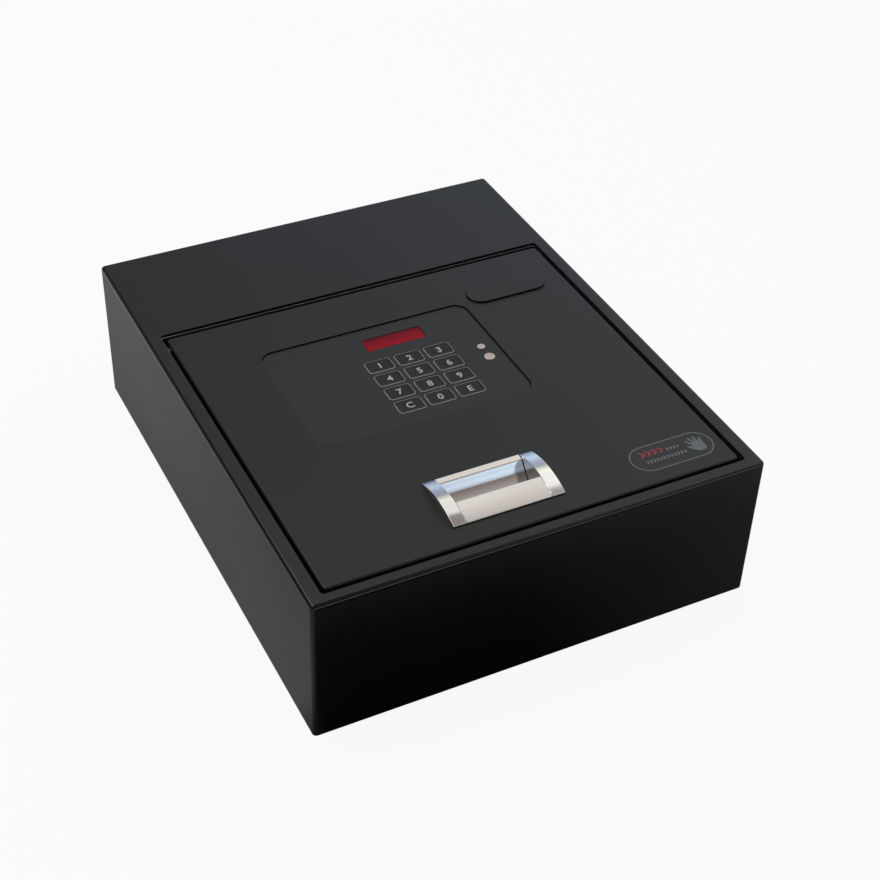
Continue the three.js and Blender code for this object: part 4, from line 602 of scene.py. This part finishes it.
key_places = [
    (legend, KEYS_AT[0] + KEY_PITCH[0] * (column - 1), KEYS_AT[1] - KEY_PITCH[1] * (row - 1.5))
    for row, legends in enumerate(KEY_ROWS)
    for column, legend in enumerate(legends)
]
panel_holes = [
    *(
        lambda grow, height, x=x, y=y: ring({**KEY, "x": x, "y": y}, KEY_GAP + grow, height)
        for _, x, y in key_places
    ),
    lambda grow, height: ring(WINDOW, INSERT_GAP + grow, height),
    *(
        lambda grow, height, x=x, y=y, r=radius: circle(x, y, r + INSERT_GAP + grow, height)
        for _, x, y, radius in CONTACTS
    ),
]


def moulded(name, colour, roughness, level=0.3):
    """Grained plastic: a fine spark-eroded texture, slightly cloudy in gloss."""
    plastic = Finish(name)
    spark = plastic.noise(2800, 2.0)
    cloud = plastic.noise(40, 2.0)
    tone = plastic.mixed(cloud, tuple(0.92 * c for c in colour), tuple(1.08 * c for c in colour))
    rough = cloud * 0.05 + spark * 0.06 + (roughness - 0.05)
    return plastic.shade(tone, rough, spark, 0.000006, Specular_IOR_Level=level)


panel_plastic = moulded("panel_plastic", (0.016, 0.016, 0.016), 0.42, 0.36)
panel_edge = [(-1, 0), (-0.65, 0), (-0.4, -0.1), (-0.3, -0.35), (-0.3, -2.3)]
panel_rim = [(3.5, -2.3), (3.5, -4.8), (-4, -4.8), (-4, -2.3)]
panel_outer = [ring(PANEL, grow, PANEL_TOP + drop, CORNER_FINE) for grow, drop in panel_edge + panel_rim]
panel_skins = [
    skin(panel_outer),
    plate_face([panel_outer[0]] + [hole(0.4, PANEL_TOP) for hole in panel_holes]),
    *(hole_walls(hole, PANEL_TOP, PANEL_UNDER, 0.2) for hole in panel_holes),
    plate_face([panel_outer[-1]] + [hole(0, PANEL_UNDER) for hole in panel_holes]),
]
boss = [(0, 108.75), (BOSS["radius"], 108.75), (BOSS["radius"], BOSS["low"] + 0.2)]
boss += [(BOSS["radius"] - 0.2, BOSS["low"]), (0, BOSS["low"])]
for x in (BOSS["left"], BOSS["right"]):
    for y in (BOSS["front"], BOSS["rear"]):
        panel_skins.append(tube(x, y, boss))
panel = made_piece("panel", panel_plastic, "lid", "panel_plastic", *panel_skins)
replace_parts(panel, "keypad_panel")


# Keys
# Twelve keys of darker ABS, each with a shallow dish inside a raised edge, tabs that hold it
# under the panel and a stem over its switch. Edge line and figure are pad printed in light grey.
KEY_TOP = 111.2
KEY_FOOT = 107.45
STEM_FOOT = 105.6
DISH = 0.2
FIGURE_SIZE = 8.1
FIGURE_OFF = (0.25, 0.2)
INK_SPREAD = 0.15
INK_FILM = 0.02
LINE_PROUD = 0.015
LINE_DEEP = 0.03
key_plastic = moulded("key_plastic", (0.009, 0.009, 0.0093), 0.40, 0.30)
print_ink = Finish("print_ink")
cover = print_ink.noise(900, 3.0)
ink_tone = print_ink.mixed(cover, (0.42, 0.42, 0.42), (0.56, 0.56, 0.56))
print_ink.shade(ink_tone, cover * 0.1 + 0.45, Specular_IOR_Level=0.3)
line_ink = Finish("line_ink")
wear = line_ink.noise(700, 3.0)
line_tone = line_ink.mixed(wear, (0.30, 0.30, 0.29), (0.38, 0.38, 0.37))
line_ink.shade(line_tone, wear * 0.1 + 0.45, Specular_IOR_Level=0.3)


def key_height(inset):
    """Height of the top of a key at an inset from its edge: a quarter circle of 0.5 mm, and
    a dish of 0.2 mm between insets of 0.9 and 3.4 mm, with a cosine slope."""
    edge = 0.5 - np.sqrt(np.maximum(0.25 - (0.5 - np.minimum(inset, 0.5)) ** 2, 0))
    dish = DISH / 2 * (1 - np.cos(np.pi * np.clip((inset - 0.9) / 2.5, 0, 1)))
    return KEY_TOP - edge - dish


def figure(name, text, middle):
    """A mesh of a printed figure about its middle: the outline of the text, thickened to a film.
    The nine is a six turned half round."""
    words = bpy.data.curves.new(name, "FONT")
    words.body, words.size, words.offset = "6" if text == "9" else text, FIGURE_SIZE * MM, INK_SPREAD * MM
    words.align_x, words.align_y, words.extrude = "CENTER", "CENTER", INK_FILM * MM
    words.resolution_u = 6
    holder = bpy.data.objects.new(name, words)
    mesh = bpy.data.meshes.new_from_object(holder)
    bpy.data.objects.remove(holder)
    points = np.empty((len(mesh.vertices), 3), np.float32)
    mesh.vertices.foreach_get("co", points.ravel())
    points = points.astype(float)
    points *= (-1, -1, 1) if text == "9" else (1, 1, 1)
    points += np.array(middle) * MM - (points.min(0) + points.max(0)) / 2
    mesh.vertices.foreach_set("co", points.ravel())
    mesh.update()
    return mesh


edge_turns = np.linspace(0, np.pi / 2, 6)
key_insets = np.r_[0.5 - 0.5 * np.cos(edge_turns), 0.7, 0.9, 1.2, 1.6, 2.0, 2.4, 2.8, 3.1, 3.4]
line_insets = np.array([0.04, 0.09, 0.18, 0.32, 0.48, 0.64])
for legend, x, y in key_places:
    body = KEY_BODIES.get(legend, f"key_{legend}")
    plan = {**KEY, "x": x, "y": y}
    stem = {"width": 4, "depth": 4, "corner": 2, "x": x, "y": y}
    tab = {"width": 14.7, "depth": 15.5, "corner": 0.5, "x": x, "y": y}
    top = [ring(plan, -inset, key_height(inset)) for inset in key_insets]
    rows = [ring(stem, 0, STEM_FOOT), ring(stem, 0, KEY_FOOT)]
    rows += [ring(plan, 0, KEY_FOOT), ring(plan, 0, KEY_TOP - 0.9)]
    key = made_piece(
        f"pad_{body}",
        key_plastic,
        body,
        "key_plastic",
        skin(rows + top, ends=True),
        skin([ring(tab, 0, KEY_FOOT - 0.05), ring(tab, 0, KEY_FOOT + 0.95)], ends=True),
    )
    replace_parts(key, body)
    line_rows = [ring(plan, -inset, key_height(inset) + LINE_PROUD) for inset in line_insets]
    line_rows += [ring(plan, -inset, key_height(inset) - LINE_DEEP) for inset in line_insets[::-1]]
    made_piece(f"line_{body}", line_ink.owner, body, "key_plastic", skin(line_rows, turns=True), sharp=60)
    name = f"figure_{body}"
    middle = (x + FIGURE_OFF[0], y + FIGURE_OFF[1], KEY_TOP - DISH + INK_FILM)
    fitted(name, figure(name, legend, middle), print_ink.owner, body)


# Display, circuit board and emergency contacts
# A red acrylic lens over a numeric display module on the board, which hangs from four bosses.
# Two nickel silver studs beside the keys take the clip of an outside battery.
LENS_FOOT = 107.2
LENS_TOP = 110.8
LENS_RIM = 1.2
STUD_TOP = 111.35
STUD_FOOT = 104.8
STEM_RADIUS = 1.4
red_acrylic = Finish("red_acrylic")
# Painted light: the lens is painted a brighter red towards its front edge and darker towards its rear.
lit_front = 1.0 - red_acrylic.millimetres("Y").above(WINDOW["y"], 15.0)
haze = red_acrylic.noise(160, 3.0)
red_tone = red_acrylic.mixed(lit_front * 0.8 + haze * 0.2, (0.115, 0.004, 0.013), (0.42, 0.006, 0.020))
red_acrylic.shade(red_tone, haze * 0.06 + 0.28, Specular_IOR_Level=0.08)
lens_rows = [
    ring(WINDOW, LENS_RIM, LENS_FOOT),
    ring(WINDOW, LENS_RIM, LENS_FOOT + LENS_RIM),
    ring(WINDOW, 0, LENS_FOOT + LENS_RIM),
    ring(WINDOW, 0, LENS_TOP - 0.3),
    *rounded(WINDOW, 0, LENS_TOP - 0.3, 0.3, 0, 1, 4),
    ring(WINDOW, -0.6, LENS_TOP),
]
lens = made_piece("lens", red_acrylic.owner, "lid", "red_lens", skin(lens_rows, ends=True))
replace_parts(lens, "display_window")

inner_plastic = moulded("inner_plastic", (0.012, 0.012, 0.013), 0.5)
dressed("display_module", inner_plastic, "lid", 0.3)
solder_mask = Finish("solder_mask")
track = solder_mask.node(
    "ShaderNodeTexBrick",
    {"offset": 0.37, "squash": 1.0},
    {"Vector": solder_mask.place, "Scale": 260.0, "Mortar Size": 0.06, "Mortar Smooth": 0.3},
    "Fac",
)
mask_tone = solder_mask.mixed(track, (0.006, 0.060, 0.022), (0.020, 0.130, 0.050))
solder_mask.shade(mask_tone, solder_mask.noise(500) * 0.1 + 0.25, track, 0.00003)
dressed("circuit_board", solder_mask.owner, "lid", 0.15)

nickel_silver = Finish("nickel_silver")
brushed = nickel_silver.noise(1400, 2.0)
nickel_tone = nickel_silver.mixed(brushed, (0.55, 0.46, 0.43), (0.68, 0.58, 0.55))
nickel_silver.shade(nickel_tone, brushed * 0.1 + 0.38, brushed, 0.000004, Metallic=0.85)
head_shares = [(1, 0.75), (1, 0.3), (0.985, 0.19), (0.95, 0.10), (0.88, 0.04), (0.7, 0.01), (0.3, 0), (0, 0)]
for node, x, y, radius in CONTACTS:
    head = [(share * radius, STUD_TOP - drop) for share, drop in head_shares]
    stem = [(0, STUD_FOOT), (STEM_RADIUS, STUD_FOOT), (STEM_RADIUS, STUD_TOP - 0.75)]
    stud = made_piece(
        f"stud_{node}", nickel_silver.owner, "lid", "contact_steel", tube(x, y, stem + head, 48)
    )
    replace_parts(stud, node)


# Handle
# A cup pull: one bent and satin-brushed aluminium sheet makes the apron, the cup with its fold
# and the rear lip, and two polished zinc castings close its ends. Two screws hold it from below.
ARCH = {"radius": 58.5, "y": 0.0, "z": -53.0}
CUP = {"radius": 18.4, "y": -1.0, "z": 5.0}
SHEET = 1.2
HALF = 22.5
APRON = 16
FOOT = 0.3
REAR_TOP = 1.25
BODY_HALF = 30.1
CAP_START = 30.4
CAP_END = 39.5
TONGUE = 2.5


def on_arch(y, inset=0.0):
    """Height of the arch at y: centre height + root of radius squared less y squared."""
    return ARCH["z"] + np.sqrt((ARCH["radius"] - inset) ** 2 - np.square(y))


def cup_half(z, radius):
    """Half width of a circle round the cup's centre at a height, from the same root."""
    return np.sqrt(radius**2 - (z - CUP["z"]) ** 2)


def arc(centre, radius, start, end, count=32):
    """Points of a circle between two points given in y and z, the short way round: centre +
    radius (cos, sin)."""
    first, last = (np.arctan2(z - centre["z"], y - centre["y"]) for y, z in (start, end))
    angle = np.linspace(first, last, count)
    return np.stack([centre["y"] + radius * np.cos(angle), centre["z"] + radius * np.sin(angle)], -1)


def along_x(section, x0, x1):
    """A section in y and z carried along X, on the lid, closed with a face at each end."""
    section = np.asarray(section)
    rows = [
        np.column_stack([np.full(len(section), HANDLE_AT[0] + x), section + (HANDLE_AT[1], LID_TOP)])
        for x in (x0, x1)
    ]
    return skin(rows, ends=True)


free = APRON - HALF
ys = np.linspace(CUP["y"] - CUP["radius"] + 0.01, CUP["y"], 4001)
wall = CUP["z"] - np.sqrt(CUP["radius"] ** 2 - (ys - CUP["y"]) ** 2)
root = ys[np.argmin(np.abs(wall - on_arch(ys, SHEET)))]
outer = CUP["radius"] + SHEET
inner_arch = ARCH["radius"] - SHEET
bowl_end = 4
bowl_depth = np.sqrt(CUP["radius"] ** 2 - (bowl_end - CUP["y"]) ** 2)
folds = np.array([(8.6, -9.46), (13.0, -5.5), (15.71, -2.03), (17.48, 0.39)])
lip_points = np.array([folds[-1], (18.0, 1.0), (19.0, 1.0)])
t = np.linspace(0, 1, 13)[1:, None]
lip = (1 - t) ** 2 * lip_points[0] + 2 * t * (1 - t) * lip_points[1] + t**2 * lip_points[2]
handle_section = np.concatenate(
    [
        [(-HALF, FOOT)],
        arc(ARCH, ARCH["radius"], (-HALF, on_arch(-HALF)), (free, on_arch(free))),
        arc(ARCH, inner_arch, (free, on_arch(free, SHEET)), (root, on_arch(root, SHEET))),
        arc(CUP, CUP["radius"], (root, on_arch(root, SHEET)), (bowl_end, CUP["z"] - bowl_depth), 60)[1:],
        *(folds[i] + (folds[i + 1] - folds[i]) * np.array([[0.04], [0.96]]) for i in (0, 1, 2)),
        lip,
        [(HALF, REAR_TOP), (HALF, FOOT)],
        arc(CUP, outer, *((CUP["y"] + side * cup_half(FOOT, outer), FOOT) for side in (1, -1)), 72),
    ]
)


satin_aluminium = Finish("satin_aluminium")
hairline = satin_aluminium.noise(1500, 3.0, (0.03, 1.0, 1.0))
broad = satin_aluminium.noise(50, 2.0, (0.3, 1.0, 1.0))
satin_tone = satin_aluminium.mixed(broad, (0.75, 0.725, 0.72), (0.81, 0.785, 0.78))
brushed_side = satin_aluminium.millimetres("Z").above(113, 1.5)
satin_rough = hairline * 0.10 + brushed_side * 0.28 + 0.08
satin_aluminium.shade(satin_tone, satin_rough, hairline, 0.000003, Metallic=1.0)
pull = made_piece(
    "pull", satin_aluminium.owner, "lid", "handle_satin", along_x(handle_section, -BODY_HALF, BODY_HALF)
)
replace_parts(eased(pull, 0.25, 3), "handle_body")

bright_chrome = Finish("bright_chrome")
smear = bright_chrome.noise(120, 3.0)
chrome_tone = bright_chrome.mixed(smear, (0.78, 0.80, 0.82), (0.86, 0.87, 0.88))
bright_chrome.shade(chrome_tone, smear * 0.05 + 0.06, smear, 0.000002, Metallic=1.0)
top = arc(ARCH, ARCH["radius"], (HALF, on_arch(HALF)), (-HALF, on_arch(-HALF)), 48)
cap_arch = np.concatenate([[(-HALF, FOOT), (HALF, FOOT)], top])
front, rear = (CUP["y"] + side * cup_half(0, outer) for side in (-1, 1))
tongue_top = FOOT + 0.4
bowl = arc(CUP, outer, (front, 0), (rear, 0), 64)
tongue = np.concatenate([[(front, tongue_top)], bowl, [(rear, tongue_top)]])
for side, name in ((-1, "left"), (1, "right")):
    start, end, back = side * CAP_START, side * CAP_END, side * (CAP_START + TONGUE)
    cap = made_piece(
        f"cap_{name}",
        bright_chrome.owner,
        "lid",
        "cap_chrome",
        along_x(cap_arch, min(start, end), max(start, end)),
        along_x(tongue, min(start, back) + 0.01 * (side < 0), max(start, back) - 0.01 * (side > 0)),
    )
    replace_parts(eased(cap, 0.25, 3), f"handle_cap_{name}")
    dressed(f"handle_screw_{name}", plain_steel.owner, "lid", 0.15)


# Key cover and override lock
# A loose pill-shaped plate, coated like the lid, that two sprung clips hold over the key hole.
# Under it a turned brass barrel with a steel plug and a cam is nutted to the lid.
PILL = {"width": 62.8, "depth": 22.2, "corner": 11.1, "x": LOCK_AT[0], "y": LOCK_AT[1]}
PILL_TOP = 113.4
PILL_EDGE = 0.6
PILL_UNDER = 112.3
CLIP_FOOT = 107
rim = PILL_TOP - PILL_EDGE
pill_rows = [
    ring(PILL, -0.3, PILL_UNDER, CORNER_FINE),
    ring(PILL, 0, PILL_UNDER + 0.2, CORNER_FINE),
    ring(PILL, 0, rim, CORNER_FINE),
    *(
        ring(PILL, -PILL_EDGE * (1 - np.cos(turn)), rim + PILL_EDGE * np.sin(turn), CORNER_FINE)
        for turn in np.linspace(0, np.pi / 2, 9)
    ),
    ring(PILL, -0.9, PILL_TOP, CORNER_FINE),
]
pill_skins = [skin(pill_rows, ends=True)]
for x in (LOCK_AT[0] - CLIP_OFF, LOCK_AT[0] + CLIP_OFF):
    clip = {"width": 3, "depth": 8, "corner": 0.5, "x": x, "y": LOCK_AT[1]}
    clip_rows = [ring(clip, -0.4, CLIP_FOOT), ring(clip, 0, CLIP_FOOT + 0.4), ring(clip, 0, PILL_UNDER + 0.3)]
    pill_skins.append(skin(clip_rows, ends=True))
cover_plate = made_piece("key_plate", lid_coat, "key_cover", "lid_paint", *pill_skins)
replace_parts(cover_plate, "key_cover")

turned_brass = Finish("turned_brass")
lathe_mark = turned_brass.noise(1200, 2.0, (1.0, 1.0, 0.1))
brass_tone = turned_brass.mixed(turned_brass.noise(80, 3.0), (0.52, 0.38, 0.15), (0.66, 0.50, 0.22))
turned_brass.shade(brass_tone, lathe_mark * 0.1 + 0.25, lathe_mark, 0.000004, Metallic=1.0)
dressed("lock_barrel", turned_brass.owner, "lid", 0.2)
for node in ("lock_plug", "lock_cam"):
    dressed(node, plain_steel.owner, "lock", 0.2)


# Push label
# A thin dark film with a grey border line, stuck on the corner of the lid to be pressed when it
# is shut. Instead of words it carries plain chevrons and a simple hand.
LABEL = {"width": 61.6, "depth": 24.9, "corner": 12.45, "x": 109.7, "y": -162.3}
FILM_TOP = 112.1
INK_TOP = 112.13
BORDER = (0.1, 1.05)


def print_finish(name, dark, light):
    """A printed colour, thin in places, with a dull gloss."""
    ink = Finish(name)
    cover = ink.noise(800, 3.0)
    return ink.shade(ink.mixed(cover, dark, light), cover * 0.1 + 0.4, Specular_IOR_Level=0.3)


def flat_print(loop, low, high):
    """A flat outline in plan, thickened between two heights."""
    loop = np.asarray(loop)
    return skin([np.column_stack([loop, np.full(len(loop), z)]) for z in (low, high)], ends=True)


def capsule(x, y, angle, length, radius, tip):
    """Outline of a straight finger from a place, towards an angle: a half circle of one radius at
    its foot and one of another at its tip, turned by the angle."""
    turn = np.linspace(-np.pi / 2, np.pi / 2, 9)
    front = np.stack([length + tip * np.cos(turn), tip * np.sin(turn)], -1)
    back = np.stack([-radius * np.cos(turn), -radius * np.sin(turn)], -1)
    points = np.concatenate([front, back])
    spin = np.array([[np.cos(angle), np.sin(angle)], [-np.sin(angle), np.cos(angle)]])
    return points @ spin + (x, y)


made_piece(
    "label_film",
    print_finish("label_film", (0.026, 0.027, 0.028), (0.032, 0.033, 0.034)),
    "lid",
    "lid_paint",
    skin([ring(LABEL, 0, z, CORNER_FINE) for z in (LID_TOP, FILM_TOP)], ends=True),
)
border = [ring(LABEL, -BORDER[0], z, CORNER_FINE) for z in (FILM_TOP, INK_TOP)]
border += [ring(LABEL, -BORDER[1], z, CORNER_FINE) for z in (INK_TOP, FILM_TOP)]
made_piece(
    "label_border",
    print_finish("label_border", (0.13, 0.135, 0.13), (0.18, 0.185, 0.18)),
    "lid",
    "lid_paint",
    skin(border, turns=True),
)


def chevron(x, y, arm, thick):
    """A chevron with its tip towards +X, printed on the label at a place from its middle."""
    tip = x + 1.05 * arm
    loop = [(x, -arm), (x + thick, -arm), (tip + thick, 0), (x + thick, arm), (x, arm), (tip, 0)]
    return flat_print(np.array(loop) + (LABEL["x"], LABEL["y"] + y), FILM_TOP, INK_TOP)


red_print = print_finish("label_red", (0.30, 0.030, 0.035), (0.38, 0.045, 0.050))
chevrons = [chevron(4.6 * step - 22.3, 4.6, 2.7, 2.1) for step in range(4)]
made_piece("label_chevrons", red_print, "lid", "lid_paint", *chevrons)
grey_print = print_finish("label_grey", (0.13, 0.15, 0.16), (0.17, 0.19, 0.20))
pale_print = print_finish("label_pale", (0.19, 0.21, 0.22), (0.24, 0.26, 0.27))
small = [chevron(2.6 * step - 2.6, 3.4, 1.3, 1.0) for step in range(4)]
small += [chevron(2.6 * step - 21.4, -3.4, 1.3, 1.0) for step in range(12)]
made_piece("label_small", pale_print, "lid", "lid_paint", *small)
fingers = [
    (16.5, -4.0, 2.41, 5.3, 1.5, 0.75),
    (17.6, -1.0, 2.19, 6.8, 1.3, 0.7),
    (19.0, 0.9, 1.93, 6.5, 1.3, 0.7),
    (21.2, 1.2, 1.71, 5.8, 1.3, 0.7),
    (22.9, 0.0, 1.32, 4.8, 1.2, 0.6),
]
hand_parts = [
    flat_print(capsule(LABEL["x"] + x, LABEL["y"] + y, *rest), FILM_TOP, INK_TOP) for x, y, *rest in fingers
]
palm = {"width": 8.6, "depth": 9.4, "corner": 3.2, "x": LABEL["x"] + 19.9, "y": LABEL["y"] - 2.3}
hand_parts.append(flat_print(ring(palm, 0, 0)[:, :2], FILM_TOP, INK_TOP + 0.005))
made_piece("label_hand", grey_print, "lid", "lid_paint", *hand_parts)


# Bolts and their drive
# Two turned steel bolts are riveted to a flat bar behind their guides. A rack on the bar runs
# with the brass pinion of a small gear motor, and the lock's cam can push the bar back by hand.
for node in ("bolt_bar", "bolt_left", "bolt_right"):
    finish = zinc_plate.owner if node == "bolt_bar" else plain_steel.owner
    dressed(node, finish, "bolt_carriage", 0.25)
for node in ("bolt_guide_left", "bolt_guide_right", "motor_bracket"):
    dressed(node, plain_steel.owner, "lid", 0.3)
dressed("drive_pinion", turned_brass.owner, "pinion", 0.1)
dressed("gear_motor", plain_steel.owner, "lid", 0.3)


# Batteries, their box and door, and the reset button
# Four AA cells lie in a moulded box that opens through the inner cover, behind a hinged door.
# The red button beside it sets a new code. All are held by the cover and reached from below.
dressed("battery_box", inner_plastic, "lid", 0.3)
dressed("battery_door", inner_plastic, "battery_door", 0.3)
CELL_MIDDLE = -2.0
JACKET_HALF = 22.6
BAND_HALF = 12.0
cell_jacket = Finish("cell_jacket")
off_middle = cell_jacket.millimetres("Y") - CELL_MIDDLE
off_middle = off_middle.math("ABSOLUTE", off_middle)
bare_end = off_middle.above(JACKET_HALF, 0.3)
label_band = off_middle.above(BAND_HALF, 0.3)
jacket = cell_jacket.mixed(label_band, (0.020, 0.050, 0.150), (0.22, 0.23, 0.25))
cell_tone = cell_jacket.mixed(bare_end, jacket, (0.56, 0.56, 0.55))
cell_rough = cell_jacket.noise(300) * 0.08 + 0.24
cell_jacket.shade(cell_tone, cell_rough, Metallic=bare_end * 0.7 + 0.3)
for number in range(1, 5):
    dressed(f"battery_{number}", cell_jacket.owner, "lid", 0.3)
red_button = moulded("red_button", (0.36, 0.012, 0.010), 0.35, 0.5)
dressed("reset_button", red_button, "reset_button", 0.25)
